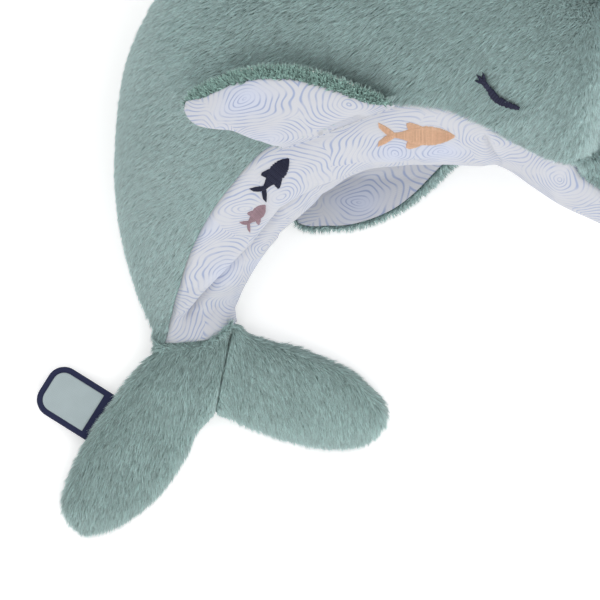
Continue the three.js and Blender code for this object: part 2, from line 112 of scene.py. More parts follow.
class Spline:
    """A centripetal Catmull-Rom curve through rows of numbers, over 0 to 1.

    Between two rows it is a cubic. Its slopes come from the rows on either side, each span weighed by
    the square root of its chord.
    """

    def __init__(self, rows: list | tuple) -> None:
        """Works out each span's cubic.

        Args:
            rows: The rows to pass through.
        """
        p = np.array(rows, float).reshape(len(rows), -1)
        p = np.vstack([2 * p[0] - p[1], p, 2 * p[-1] - p[-2]])
        span = np.sqrt(np.linalg.norm(np.diff(p, axis=0), axis=1))
        here = np.where(span[1:-1] < 1e-4, 1.0, span[1:-1])
        before = np.where(span[:-2] < 1e-4, here, span[:-2])[:, None]
        after = np.where(span[2:] < 1e-4, here, span[2:])[:, None]
        here = here[:, None]
        a, b, c, d = p[:-3], p[1:-2], p[2:-1], p[3:]
        leave = ((b - a) / before - (c - a) / (before + here) + (c - b) / here) * here
        reach = ((c - b) / here - (d - b) / (here + after) + (d - c) / after) * here
        self.cubics = np.stack([b, leave, 3 * (c - b) - 2 * leave - reach, 2 * (b - c) + leave + reach])

    def __call__(self, t: Array) -> Array:
        """The curve's rows at the places t.

        Args:
            t: Places from 0 to 1.

        Returns:
            The rows there.
        """
        spans = self.cubics.shape[1]
        place = np.clip(np.asarray(t, float), 0, 1) * spans
        i = np.minimum(place.astype(int), spans - 1)
        w = (place - i)[..., None]
        k = self.cubics[:, i]
        return ((k[3] * w + k[2]) * w + k[1]) * w + k[0]


def beside(spots: Array, line: tuple) -> tuple[Array, Array]:
    """Where points of the table plane lie beside a line of straight runs.

    Args:
        spots: Points, (..., 2) or more columns, of which the first two count.
        line: The line's corners.

    Returns:
        The distance to the nearest run, positive on the line's right, and the share of the line there.
    """
    corners = np.array(line, float)
    start, run = corners[:-1], np.diff(corners, axis=0)
    length = np.linalg.norm(run, axis=-1)
    off = spots[..., None, :2] - start
    share = np.clip((off * run).sum(-1) / length**2, 0, 1)
    away = np.linalg.norm(off - share[..., None] * run, axis=-1)
    right = np.sign(off[..., 0] * run[:, 1] - off[..., 1] * run[:, 0])
    along = (np.cumsum(length) - length + share * length) / length.sum()
    near = away.argmin(-1)[..., None]
    return np.take_along_axis(away * right, near, -1)[..., 0], np.take_along_axis(along, near, -1)[..., 0]


@dataclass
class Section:
    """Ovals across the body: the way to the back, half sizes, the middle and its height."""

    to_back: Array
    half: Array
    middle: Array
    half_width: Array
    lift: Array


@dataclass
class BodyForm:
    """The stuffed body: an oval section at every t from the tail seam, 0, to the tip of the beak, 1.

    A row of stations has the back's x and y, the belly's x and y, the width off the table and the height
    of the lowest point. A search for a place looks over a range of t in steps, and then halves the step.
    """

    plush: float = 4.0
    jersey: float = 1.0
    pinch: float = 2.2
    search: tuple = (0.02, 0.97, 121)
    halvings: int = 30
    stations: tuple = (
        (-73.5, -20, -33.5, -11.5, 4, 5), (-77, -13, -31.5, -4.5, 20, -1), (-83.5, 2.5, -28, 4, 42, -2),
        (-92, 36, -16, 23.5, 68, -2.5), (-94, 75, 0.5, 40, 94, -3), (-85, 127.5, 15, 53.5, 112, -3),
        (-50, 180, 28.5, 61, 120, -3), (10, 206.5, 47.5, 65, 122, -3), (75, 205, 70, 67, 118, -1),
        (122.5, 182.5, 90, 66, 110, 3), (153, 153, 101, 65.5, 102, 6), (162.5, 132.5, 115, 56.5, 92, 10),
        (161.5, 108.5, 125.5, 49.5, 76, 15), (153.5, 79, 132.5, 45.5, 54, 25), (160, 65, 144.5, 40, 48, 28),
        (172.5, 53.5, 160, 33.5, 41, 31), (181, 43.5, 174, 32, 27, 38), (182.5, 38.5, 181.5, 36.5, 4, 49),
    )

    def __post_init__(self) -> None:
        """Draws the outlines and the girth as curves."""
        rows = np.array(self.stations, float)
        self.back, self.belly, self.girth = (Spline(rows[:, i : i + 2]) for i in (0, 2, 4))

    def section(self, t: Array) -> Section:
        """The ovals at t, the belly side raised by what the jersey is thinner than the plush.

        Args:
            t: Places along the body.

        Returns:
            The ovals' measures.
        """
        back, belly = self.back(t), self.belly(t)
        to_back = unit(back - belly)
        belly = belly + to_back * (self.jersey - self.plush)
        width, under = np.moveaxis(self.girth(t), -1, 0)
        half = np.linalg.norm(back - belly, axis=-1) / 2
        return Section(to_back, half, (back + belly) / 2, width / 2, under + width / 2)

    def on_section(self, t: Array, angle: Array, sink: Array) -> Array:
        """Points of the ovals shrunk by sink: the middle, plus cosine to the back and sine upward."""
        s = self.section(t)
        flat = s.middle + s.to_back * ((s.half - sink) * np.cos(angle))[..., None]
        height = s.lift + (s.half_width - sink) * np.sin(angle)
        return np.concatenate([flat, height[..., None]], axis=-1)

    def point(self, t: Array, angle: Array, depth: Array | float) -> tuple[Array, Array]:
        """Points at a depth below the tips of the pile, the cloth thinning toward pinched ends.

        Args:
            t: Places along the body.
            angle: Places round it, in radians from the back over the upper side.
            depth: How far in, in millimetres.

        Returns:
            The points and the outward normals. A point never lies lower than its own depth.
        """
        t, angle, depth = np.broadcast_arrays(t, angle, depth)
        step, none = 1e-3, np.zeros(t.shape)
        ahead = self.on_section(np.minimum(t + step, 1), angle, none)
        along = ahead - self.on_section(np.maximum(t - step, 0), angle, none)
        around = self.on_section(t, angle + step, none) - self.on_section(t, angle - step, none)
        normal = unit(np.cross(around, along))
        s = self.section(t)
        sink = depth * np.minimum(1, np.minimum(s.half, s.half_width) / (self.pinch * self.plush))
        forward = np.stack([s.to_back[..., 1], -s.to_back[..., 0], none], axis=-1)
        shift = (sink * (normal * forward).sum(-1))[..., None]
        spot = self.on_section(t, angle, sink) - forward * shift
        spot[..., 2] = np.maximum(spot[..., 2], sink)
        return spot, normal

    def place(self, spots: Array, sink: float = 0.0) -> tuple[Array, Array]:
        """Where points of the table plane meet the section planes, on the upper side.

        The section plane is found where the point's distance from it changes sign, nearest the middle
        of its section, and halving closes in on it.

        Args:
            spots: Points, (n, 2).
            sink: How far under the outside they are to lie.

        Returns:
            t and the angle of each.
        """

        def side(t: Array) -> Array:
            """The distances from the section planes at t, signed."""
            s = self.section(t)
            off = spots - s.middle
            return off[..., 0] * s.to_back[..., 1] - off[..., 1] * s.to_back[..., 0]

        edges = np.linspace(*self.search)
        signs = np.stack([side(np.full(len(spots), t)) for t in edges])
        offs = np.stack([np.abs(self._offset(np.full(len(spots), t), spots)) for t in edges[:-1]])
        crosses = signs[:-1] * signs[1:] <= 0
        pick = np.where(crosses, offs, np.inf).argmin(0)
        low, high = edges[pick], edges[pick + 1]
        start = signs[pick, np.arange(len(spots))]
        for _ in range(self.halvings):
            mid = (low + high) / 2
            same = start * side(mid) > 0
            low, high = np.where(same, mid, low), np.where(same, high, mid)
        return low, np.arccos(np.clip(self._offset(low, spots, sink), -1, 1))

    def _offset(self, t: Array, spots: Array, sink: float = 0.0) -> Array:
        """How far toward the back points lie in the sections at t, in half sections."""
        s = self.section(t)
        return ((spots - s.middle) * s.to_back).sum(-1) / (s.half - sink)


@dataclass
class LeafForm:
    """A leaf sewn from two faces and laid on a surface.

    A row of the outline has the two edges' points and the swell there. The section is an oval between
    the edges, as high as rise above the seam and sag below it, times the swell. Its sine and cosine are
    taken to the power blunt, which squares it off where that is under one. The tip's last share, tip_round,
    is rounded off as a parabola.
    """

    outline: tuple
    lay: Lay
    rise: float
    sag: float
    least: float = 0.4
    blunt: float = 1.0
    tip_round: float = 0.03

    def __post_init__(self) -> None:
        """Draws the two edges and the swell as curves."""
        rows = np.array(self.outline, float)
        self.edge_a, self.edge_b = Spline(rows[:, 0:2]), Spline(rows[:, 2:4])
        self.swell = Spline(rows[:, 4:5])

    def point(self, t: Array, angle: Array, depth: Array | float) -> Array:
        """Points at t from root to tip and an angle round the section, at a depth inside the leaf.

        Args:
            t: Places from the root, 0, to the tip, 1.
            angle: Places round the section, from edge a over the upper face.
            depth: How far in, in millimetres, thinning where the leaf is thin.

        Returns:
            The points.
        """
        t, angle, depth = np.broadcast_arrays(t, angle, depth)
        a, b = self.edge_a(t), self.edge_b(t)
        half = np.linalg.norm(a - b, axis=-1) / 2
        crown = np.where(np.sin(angle) > 0, self.rise, self.sag) * self.swell(t)[..., 0]
        crown = crown * np.sqrt(np.clip((1 - t) / self.tip_round, 0, 1))
        c, s = np.cos(angle), np.sin(angle)
        reach = np.maximum(half - depth, half * self.least) * np.sign(c) * np.abs(c) ** self.blunt
        height = np.maximum(crown - depth, crown * self.least) * np.sign(s) * np.abs(s) ** self.blunt
        spot = (a + b) / 2 + unit(a - b) * reach[..., None]
        base, normal = self.lay(spot.reshape(-1, 2))
        point = base.reshape(*t.shape, 3) + normal.reshape(*t.shape, 3) * height[..., None]
        point[..., 2] = np.maximum(point[..., 2], np.minimum(depth, crown))
        return point

    def half_span(self, t: Array) -> Array:
        """Half the distance between the two edges."""
        return np.linalg.norm(self.edge_a(t) - self.edge_b(t), axis=-1) / 2

    def rings(self, rows: int, columns: int, depth: float, start: float = 0.0, stop: float = 1.0) -> Array:
        """A grid round the whole leaf, its last column on its first."""
        turn = np.linspace(0, 2 * np.pi, columns)
        t, angle = np.meshgrid(np.linspace(start, stop, rows), turn, indexing="ij")
        return self.point(t, angle, depth)


def flat_at(height: float) -> Lay:
    """Lays a leaf level at a height over the table.

    Args:
        height: The height.

    Returns:
        What gives points and normals.
    """

    def lay(spots: Array) -> tuple[Array, Array]:
        """Points and normals over spots of the table plane."""
        up = np.broadcast_to([0.0, 0.0, 1.0], (len(spots), 3))
        return np.column_stack([spots, np.full(len(spots), height)]), up

    return lay


# Meshes


def outward_normals(outer: Array, inner: Array) -> Array:
    """Normals of an outer grid: the cross product of its two slopes, turned away from the inner grid."""
    normal = unit(np.cross(np.gradient(outer, axis=1), np.gradient(outer, axis=0)))
    return normal * np.sign((normal * (outer - inner)).sum())


def grid_faces(rows: int, columns: int, start: int = 0) -> Array:
    """The four corners of every cell of a grid that is numbered row by row."""
    k = start + (np.arange(rows - 1)[:, None] * columns + np.arange(columns - 1)).ravel()
    return np.stack([k, k + 1, k + columns + 1, k + columns], axis=1)


def sheet_faces(rows: int, columns: int) -> Array:
    """Faces of a closed sheet whose two grids are numbered one after the other.

    The outer grid, the inner grid turned round, and a rim of cells along the border of both.

    Args:
        rows: Rows of each grid.
        columns: Columns of each grid.

    Returns:
        The faces, (n, 4).
    """
    size = rows * columns
    index = np.arange(size).reshape(rows, columns)
    border = np.concatenate([index[0, :-1], index[:-1, -1], index[-1, :0:-1], index[:0:-1, 0]])
    after = np.roll(border, -1)
    rim = np.stack([border, border + size, after + size, after], axis=1)
    return np.concatenate([grid_faces(rows, columns), grid_faces(rows, columns, size)[:, ::-1], rim])


def turned_outward(points: Array, faces: Array) -> Array:
    """Faces turned so that the volume they enclose is positive, summed over each face's first corners.

    Args:
        points: The points.
        faces: Faces numbered into them.

    Returns:
        The faces.
    """
    a, b, c = (points[faces[:, i]] for i in range(3))
    volume = (a * np.cross(b, c)).sum()
    if faces.shape[1] == 4:
        volume += (a * np.cross(c, points[faces[:, 3]])).sum()
    return faces if volume > 0 else faces[:, ::-1]


def make_piece(
    name: str,
    points: Array,
    faces: Array,
    material: Material | None = None,
    uv: Array | None = None,
    values: dict[str, Array] | None = None,
) -> Piece:
    """A mesh object at the origin.

    Args:
        name: The piece's name.
        points: Its points in layout millimetres, (n, 3).
        faces: Its faces, (m, 3) or (m, 4), numbered into points.
        material: What it is made of.
        uv: Cloth coordinates in metres for each point, for the map "cloth".
        values: Named numbers for each point.

    Returns:
        The new object, linked to the scene.
    """
    mesh = bpy.data.meshes.new(name)
    mesh.vertices.add(len(points))
    mesh.vertices.foreach_set("co", ((points - MIDDLE) * MM).astype(np.float32).ravel())
    mesh.loops.add(faces.size)
    mesh.loops.foreach_set("vertex_index", faces.astype(np.int32).ravel())
    mesh.polygons.add(len(faces))
    mesh.polygons.foreach_set("loop_start", np.arange(len(faces), dtype=np.int32) * faces.shape[1])
    if uv is not None:
        layer = mesh.uv_layers.new(name="cloth")
        layer.data.foreach_set("uv", uv[faces.ravel()].astype(np.float32).ravel())
    for key, value in (values or {}).items():
        mesh.attributes.new(key, "FLOAT", "POINT").data.foreach_set("value", value.astype(np.float32))
    if material:
        mesh.materials.append(material)
    mesh.update(calc_edges=True)
    mesh.shade_smooth()
    piece = bpy.data.objects.new(name, mesh)
    bpy.context.scene.collection.objects.link(piece)
    log.info("%s: %d points, %d faces", name, len(points), len(faces))
    return piece


def cloth_lengths(grid: Array) -> Array:
    """Cloth coordinates of a grid in metres: lengths along its middle column and across each row.

    Args:
        grid: Points, (rows, columns, 3).

    Returns:
        The coordinates, (rows, columns, 2).
    """
    middle = grid.shape[1] // 2
    down = np.linalg.norm(np.diff(grid[:, middle], axis=0), axis=1)
    along = np.concatenate([[0], np.cumsum(down)])
    steps = np.linalg.norm(np.diff(grid, axis=1), axis=2)
    across = np.concatenate([np.zeros((len(grid), 1)), np.cumsum(steps, axis=1)], axis=1)
    across = across - across[:, middle : middle + 1]
    return np.stack([np.broadcast_to(along[:, None], across.shape), across], axis=-1) * MM


def make_sheet(name: str, outer: Array, inner: Array, material: Material) -> Piece:
    """A closed sheet of cloth between two grids, with its cloth coordinates."""
    faces = sheet_faces(*outer.shape[:2])
    points = np.concatenate([outer.reshape(-1, 3), inner.reshape(-1, 3)])
    uv = np.tile(cloth_lengths(outer).reshape(-1, 2), (2, 1))
    return make_piece(name, points, turned_outward(points, faces), material, uv)


def make_loft(name: str, rings: Array, material: Material) -> Piece:
    """A closed solid through rings whose last column repeats the first: end rings shrink to their middles.

    Args:
        name: The piece's name.
        rings: Points, (rows, columns, 3).
        material: What it is made of.

    Returns:
        The piece.
    """
    ends = rings[[0, -1]].mean(axis=1, keepdims=True)
    first = ends[0] + (rings[0] - ends[0]) * np.array([0.0, 0.5])[:, None, None]
    last = ends[1] + (rings[-1] - ends[1]) * np.array([0.5, 0.0])[:, None, None]
    grid = np.concatenate([first, rings, last])
    rows, columns = grid.shape[:2]
    index = np.arange(rows * columns).reshape(rows, columns)
    index[:, -1] = index[:, 0]
    faces = index.ravel()[grid_faces(rows, columns)]
    points = grid.reshape(-1, 3)
    used, number = np.unique(faces, return_inverse=True)
    faces = number.reshape(faces.shape)
    return make_piece(name, points[used], turned_outward(points[used], faces), material)


@dataclass(frozen=True)
class Hinge:
    """Where cloth bends from one body to the next: a seam's two ends, and the bend's reach on its right."""

    still: str
    moving: str
    first: tuple
    last: tuple
    reach: float

    def bend(self, piece: Piece, slot: str) -> None:
        """Bakes a piece's placement into its mesh; no turn about the seam is set up here."""
        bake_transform(piece)


# Stuffing


@dataclass(frozen=True)
class Swell:
    """How far stuffing presses a form's cloth out, on a grid over t and the angle round the form."""

    field: Array

    def __call__(self, t: Array, angle: Array) -> Array:
        """Values between the grid's points, by Catmull-Rom weights on four neighbours each way.

        Args:
            t: Places along the form.
            angle: Places round it, in radians.

        Returns:
            Moves in millimetres.
        """
        rows, columns = self.field.shape
        down, round_ = np.clip(t, 0, 1) * (rows - 1), np.asarray(angle) / (2 * np.pi) * columns
        i, j = np.floor(down).astype(int), np.floor(round_).astype(int)
        total = 0.0
        for a, wa in zip(range(-1, 3), self.weights(down - i)):
            for b, wb in zip(range(-1, 3), self.weights(round_ - j)):
                total = total + wa * wb * self.field[np.clip(i + a, 0, rows - 1), (j + b) % columns]
        return total

    @staticmethod
    def weights(x: Array) -> tuple[Array, Array, Array, Array]:
        """The four weights of a Catmull-Rom curve at a share x of its span.

        Args:
            x: The share.

        Returns:
            The weights.
        """
        return (
            (-x + 2 * x**2 - x**3) / 2,
            (2 - 5 * x**2 + 3 * x**3) / 2,
            (x + 4 * x**2 - 3 * x**3) / 2,
            (x**3 - x**2) / 2,
        )


@dataclass(frozen=True)
class Stuffing:
    """Cloth that is held at its seams and blown out from inside by Blender's cloth solver."""

    rows: int = 97
    columns: int = 72
    pressure: float = 4.0
    frames: int = 20
    cap: float = 1.8

    def press(
        self, name: str, point: Callable[[Array, Array], Array], held: Callable[[Array, Array, Array], Array]
    ) -> Swell:
        """Runs the solver on a closed form and keeps how far its points move out.

        Args:
            name: What the form is called in the log.
            point: Gives the form's points from t and an angle.
            held: Gives where the cloth is sewn, from t, the angle and the points.

        Returns:
            The moves along the normals in millimetres, from 0 to the cap.
        """
        turns = np.arange(self.columns + 1) * (2 * np.pi / self.columns)
        t, angle = np.meshgrid(np.linspace(0, 1, self.rows), turns, indexing="ij")
        grid = point(t, angle)
        index = np.arange(grid[..., 0].size).reshape(t.shape)
        index[:, -1] = index[:, 0]
        faces = index.ravel()[grid_faces(*t.shape)]
        points = grid.reshape(-1, 3)
        balloon = make_piece(name, points, turned_outward(points, faces))
        sewn = held(t, angle, grid) | (t <= 0) | (t >= 1) | (angle >= turns[-1])
        balloon.vertex_groups.new(name="sewn").add(np.flatnonzero(sewn).tolist(), 1.0, "REPLACE")
        cloth = balloon.modifiers.new("stuffing", "CLOTH")
        cloth.settings.vertex_group_mass = "sewn"
        cloth.settings.use_pressure = True
        cloth.settings.uniform_pressure_force = self.pressure
        cloth.settings.effector_weights.gravity = 0.0
        for number in range(1, self.frames + 1):
            bpy.context.scene.frame_set(number)
        blown = balloon.evaluated_get(bpy.context.evaluated_depsgraph_get()).data
        moved = np.zeros(len(points) * 3, np.float32)
        blown.vertices.foreach_get("co", moved)
        bpy.context.scene.frame_set(1)
        bpy.data.objects.remove(balloon)
        normal = unit(np.cross(np.gradient(grid, axis=1), np.gradient(grid, axis=0)))
        normal = normal * np.sign((normal * (grid - grid.mean(axis=1, keepdims=True))).sum())
        move = (moved.reshape(grid.shape) / MM + MIDDLE - grid) * normal
        out = np.clip(move.sum(-1), 0, self.cap)[:, :-1]
        log.info("%s: stuffed out by %.2f mm on average, %.2f at most", name, out.mean(), out.max())
        return Swell(out)


def edge_sewn(t: Array, angle: Array, points: Array) -> Array:
    """Where a leaf's two faces are sewn together: along both edges."""
    return np.abs(np.sin(angle)) < 1e-6


# Materials


class Graph:
    """A node tree that is wired by handing sockets or plain values to inputs."""

    def __init__(self, tree: Tree) -> None:
        """Keeps the tree."""
        self.tree = tree

    def add(self, kind: str, inputs: dict | None = None, **settings: object) -> Node:
        """A new node.

        Args:
            kind: Blender's name for the node.
            inputs: Values or sockets by the input's name or number.
            settings: The node's own properties.

        Returns:
            The node.
        """
        node = self.tree.nodes.new(kind)
        for key, value in settings.items():
            setattr(node, key, value)
        for key, value in (inputs or {}).items():
            self.plug(node.inputs[key], value)
        return node

    def plug(self, socket: Socket, value: object) -> None:
        """Links a socket to an input, or sets the input's own value.

        Args:
            socket: The input.
            value: A socket or a plain value.
        """
        if isinstance(value, Socket):
            self.tree.links.new(value, socket)
        elif socket.type == "RGBA" and len(value) == 3:
            socket.default_value = (*value, 1.0)
        else:
            socket.default_value = value

    def math(self, kind: str, a: object, b: object = 0.0, c: object = 0.0) -> Socket:
        """A Math node's result."""
        return self.add("ShaderNodeMath", {0: a, 1: b, 2: c}, operation=kind).outputs[0]

    def vector(self, kind: str, a: object, b: object) -> Socket:
        """A Vector Math node's vector."""
        key = "Scale" if kind == "SCALE" else 1
        return self.add("ShaderNodeVectorMath", {0: a, key: b}, operation=kind).outputs[0]

    def ramp(self, value: object, low: float, high: float, to: tuple = (0.0, 1.0)) -> Socket:
        """A soft step of a value from one range to another."""
        ends = {"Value": value, "From Min": low, "From Max": high, "To Min": to[0], "To Max": to[1]}
        return self.add("ShaderNodeMapRange", ends, interpolation_type="SMOOTHSTEP").outputs[0]

    def mix(self, share: object, a: object, b: object) -> Socket:
        """A colour between two colours."""
        return self.add("ShaderNodeMix", {0: share, 6: a, 7: b}, data_type="RGBA").outputs[2]

    def noise(self, at: object, scale: object, detail: float) -> Node:
        """A Noise Texture."""
        return self.add("ShaderNodeTexNoise", {"Vector": at, "Scale": scale, "Detail": detail})


def new_group(
    name: str, inputs: dict[str, str], outputs: dict[str, str]
) -> tuple[Tree, Graph, dict, dict]:
    """An empty shader node group.

    Args:
        name: The group's name.
        inputs: Its inputs' names and kinds, such as NodeSocketFloat.
        outputs: Its outputs' names and kinds.

    Returns:
        The tree, a graph on it, the sockets that come in and those that go out, by name.
    """
    tree = bpy.data.node_groups.new(name, "ShaderNodeTree")
    for key, kind in inputs.items():
        tree.interface.new_socket(key, in_out="INPUT", socket_type=kind)
    for key, kind in outputs.items():
        tree.interface.new_socket(key, in_out="OUTPUT", socket_type=kind)
    graph = Graph(tree)
    come, go = graph.add("NodeGroupInput"), graph.add("NodeGroupOutput")
    sockets = ({s.name: s for s in side if s.name} for side in (come.outputs, go.inputs))
    return tree, graph, *sockets


def blotch_group() -> Tree:
    """Slow light and dark patches: a colour times one plus noise, of a strength and a size.

    Returns:
        The group.
    """
    colour, value, vector = "NodeSocketColor", "NodeSocketFloat", "NodeSocketVector"
    tree, g, come, go = new_group(
        "blotches", {"Color": colour, "Vector": vector, "Scale": value, "Amount": value}, {"Color": colour}
    )
    off = g.math("SUBTRACT", g.noise(come["Vector"], come["Scale"], 3.0).outputs[0], 0.5)
    tone = g.math("MULTIPLY_ADD", off, come["Amount"], 1.0)
    g.plug(go["Color"], g.vector("SCALE", come["Color"], tone))
    return tree


def weave_group() -> Tree:
    """Crossing threads of a pitch: two sine waves, each strongest where the other is weak.

    Returns:
        The group.
    """
    value, vector = "NodeSocketFloat", "NodeSocketVector"
    tree, g, come, go = new_group("weave", {"Vector": vector, "Pitch": value}, {"Height": value})
    turns = g.vector("SCALE", come["Vector"], g.math("DIVIDE", 2 * np.pi, come["Pitch"]))
    split = g.add("ShaderNodeSeparateXYZ", {0: turns})
    warp = g.math("SINE", split.outputs[0])
    weft = g.math("SINE", g.math("ADD", split.outputs[1], g.math("MULTIPLY", warp, 0.8)))
    g.plug(go["Height"], g.math("MULTIPLY_ADD", g.math("ADD", warp, weft), 0.25, 0.5))
    return tree


def ripple_group() -> Tree:
    """A line print of rings round scattered points, as ripples meet on water.

    The rings are the distance to the nearest point, in pitches, kept near whole numbers. A few cells
    have a pale wash at their middles.

    Returns:
        The group.
    """
    value, vector = "NodeSocketFloat", "NodeSocketVector"
    tree, g, come, go = new_group(
        "ripple print", {"Vector": vector, "Cell": value, "Pitch": value}, {"Line": value, "Wash": value}
    )
    at = g.vector("SCALE", come["Vector"], g.math("DIVIDE", 1.0, come["Cell"]))
    sway = g.vector("SUBTRACT", g.noise(at, 1.7, 1.0).outputs[1], (0.5, 0.5, 0.5))
    bent = g.vector("ADD", at, g.vector("SCALE", sway, 0.32))
    scatter = {"Vector": bent, "Scale": 1.0, "Randomness": 0.8}
    cells = g.add("ShaderNodeTexVoronoi", scatter, voronoi_dimensions="2D")
    parts = g.add("ShaderNodeSeparateColor", {0: cells.outputs["Color"]})
    rings = g.math("MULTIPLY", cells.outputs["Distance"], g.math("DIVIDE", come["Cell"], come["Pitch"]))
    turn = g.math("FRACT", g.math("ADD", rings, parts.outputs[0]))
    edge = g.math("ABSOLUTE", g.math("SUBTRACT", turn, 0.5))
    stroke = g.ramp(edge, 0.27, 0.45)
    press = g.ramp(g.noise(at, 2.6, 2.0).outputs[0], 0.36, 0.6, (0.15, 1.0))
    g.plug(go["Line"], g.math("MULTIPLY", stroke, press))
    chosen = g.ramp(parts.outputs[1], 0.45, 0.8)
    middle = g.ramp(cells.outputs["Distance"], 0.05, 0.55, (1.0, 0.0))
    g.plug(go["Wash"], g.math("MULTIPLY", chosen, middle))
    return tree


class Groups:
    """The shader node groups, each built once."""

    def __init__(self) -> None:
        """Builds every group."""
        self.blotches, self.weave, self.ripples = blotch_group(), weave_group(), ripple_group()


GROUPS = Groups()


class Dye:
    """A material under way: a Principled shader, with the wiring that several finishes share."""

    def __init__(self, name: str, values: dict[str, object]) -> None:
        """Starts a material.

        Args:
            name: The material's name.
            values: The shader's plain values by their inputs' names.
        """
        self.material = bpy.data.materials.new(name)
        self.material.use_nodes = True
        self.material.node_tree.nodes.clear()
        self.graph = Graph(self.material.node_tree)
        self.shader = self.graph.add("ShaderNodeBsdfPrincipled", values)
        self.graph.add("ShaderNodeOutputMaterial", {"Surface": self.shader.outputs[0]})

    def group(self, tree: Tree, inputs: dict[str, object]) -> Node:
        """A group placed in the material with its own values."""
        node = self.graph.add("ShaderNodeGroup", node_tree=tree)
        for key, value in inputs.items():
            self.graph.plug(node.inputs[key], value)
        return node

    def number(self, name: str) -> Socket:
        """A number that the mesh holds for each point."""
        return self.graph.add("ShaderNodeAttribute", attribute_name=name).outputs["Fac"]

    def spot(self) -> Socket:
        """The place on the piece, in its own coordinates."""
        return self.graph.add("ShaderNodeTexCoord").outputs["Object"]

    def cloth(self) -> Socket:
        """The place on the cloth, from its map of lengths."""
        return self.graph.add("ShaderNodeUVMap", uv_map="cloth").outputs[0]

    def varied(self, colour: object, shade: Socket, spread: float) -> Socket:
        """A colour times one plus the spread, by how far a shade lies from its middle."""
        off = self.graph.math("SUBTRACT", shade, 0.5)
        return self.graph.vector("SCALE", colour, self.graph.math("MULTIPLY_ADD", off, spread, 1.0))

    def paint(self, colour: object, at: Socket, scale: float, amount: float) -> None:
        """Puts a colour with slow patches on the shader."""
        patches = {"Color": colour, "Vector": at, "Scale": scale, "Amount": amount}
        self.graph.plug(self.shader.inputs["Base Color"], self.group(GROUPS.blotches, patches).outputs[0])

    def relief(self, height: Socket, strength: float, deep: float) -> None:
        """Puts a fine relief on the shader."""
        bump = self.graph.add("ShaderNodeBump", {"Height": height, "Strength": strength, "Distance": deep})
        self.graph.plug(self.shader.inputs["Normal"], bump.outputs[0])


@dataclass(frozen=True)
class PileFinish:
    """Combed plush fibre, darkened toward the root by painted shade and pale at the tip; each tuft a little
    lighter or darker.
    """

    name: str
    root: Colour
    tip: Colour
    spread: float = 0.5
    sheen: float = 0.35
    sheen_tint: Colour = (0.86, 0.95, 0.95)
    rise: float = 0.8
    patches: tuple = (26.0, 0.22)

    def material(self) -> Material:
        """Builds the material from the tufts' own numbers "tip" and "shade".

        Returns:
            The material.
        """
        dye = Dye(
            self.name,
            {
                "Roughness": 0.8,
                "Specular IOR Level": 0.25,
                "Sheen Weight": self.sheen,
                "Sheen Roughness": 0.45,
                "Sheen Tint": self.sheen_tint,
            },
        )
        # painted shade: the fibre darkens toward its root, standing in for the shade between the tufts
        share = dye.graph.math("POWER", dye.number("tip"), self.rise)
        fibre = dye.graph.mix(share, self.root, self.tip)
        dye.paint(dye.varied(fibre, dye.number("shade"), self.spread), dye.spot(), *self.patches)
        return dye.material


@dataclass(frozen=True)
class BackingFinish:
    """The knitted backing that the pile stands in."""

    name: str
    colour: Colour
    pitch: float = 0.0009
    patches: tuple = (60.0, 0.5)
    relief: tuple = (0.6, 0.0003)

    def material(self) -> Material:
        """Builds a blotched colour with a knit relief.

        Returns:
            The material.
        """
        dye = Dye(self.name, {"Roughness": 0.95})
        knit = dye.group(GROUPS.weave, {"Vector": dye.cloth(), "Pitch": self.pitch})
        dye.paint(self.colour, dye.spot(), *self.patches)
        dye.relief(knit.outputs[0], *self.relief)
        return dye.material


@dataclass(frozen=True)
class PrintFinish:
    """White jersey with a pale line print."""

    name: str = "printed_jersey"
    ground: Colour = (0.55, 0.56, 0.598)
    line: Colour = (0.30, 0.355, 0.52)
    wash: Colour = (0.50, 0.56, 0.74)
    line_share: float = 0.95
    wash_share: float = 0.5
    cell: float = 0.034
    pitch: float = 0.0022
    knit: float = 0.0007
    patches: tuple = (30.0, 0.06)
    relief: tuple = (0.35, 0.00015)

    def material(self) -> Material:
        """Builds the ground, the wash and the lines on it, and a fine knit relief.

        Returns:
            The material.
        """
        dye = Dye(self.name, {"Roughness": 0.85, "Sheen Weight": 0.15})
        g, cloth = dye.graph, dye.cloth()
        inked = dye.group(GROUPS.ripples, {"Vector": cloth, "Cell": self.cell, "Pitch": self.pitch})
        washed = g.mix(g.math("MULTIPLY", inked.outputs["Wash"], self.wash_share), self.ground, self.wash)
        lined = g.mix(g.math("MULTIPLY", inked.outputs["Line"], self.line_share), washed, self.line)
        dye.paint(lined, cloth, *self.patches)
        knit = dye.group(GROUPS.weave, {"Vector": cloth, "Pitch": self.knit})
        dye.relief(knit.outputs[0], *self.relief)
        return dye.material


@dataclass(frozen=True)
class ThreadFinish:
    """Embroidery thread: each stitch a little lighter or darker by its dye, with painted shade in the grooves
    between threads and a painted highlight on their crests, and a soft gloss.
    """

    name: str
    colour: Colour
    spread: float = 0.5
    roughness: tuple = (0.75, 0.55)
    patches: tuple = (900.0, 0.35)

    def material(self) -> Material:
        """Builds the material from the stitches' own number "shade".

        Returns:
            The material.
        """
        dye = Dye(self.name, {"Specular IOR Level": 0.2})
        shade = dye.number("shade")
        dye.paint(dye.varied(self.colour, shade, self.spread), dye.spot(), *self.patches)
        dye.graph.plug(dye.shader.inputs["Roughness"], dye.graph.ramp(shade, 0.0, 1.0, self.roughness))
        return dye.material


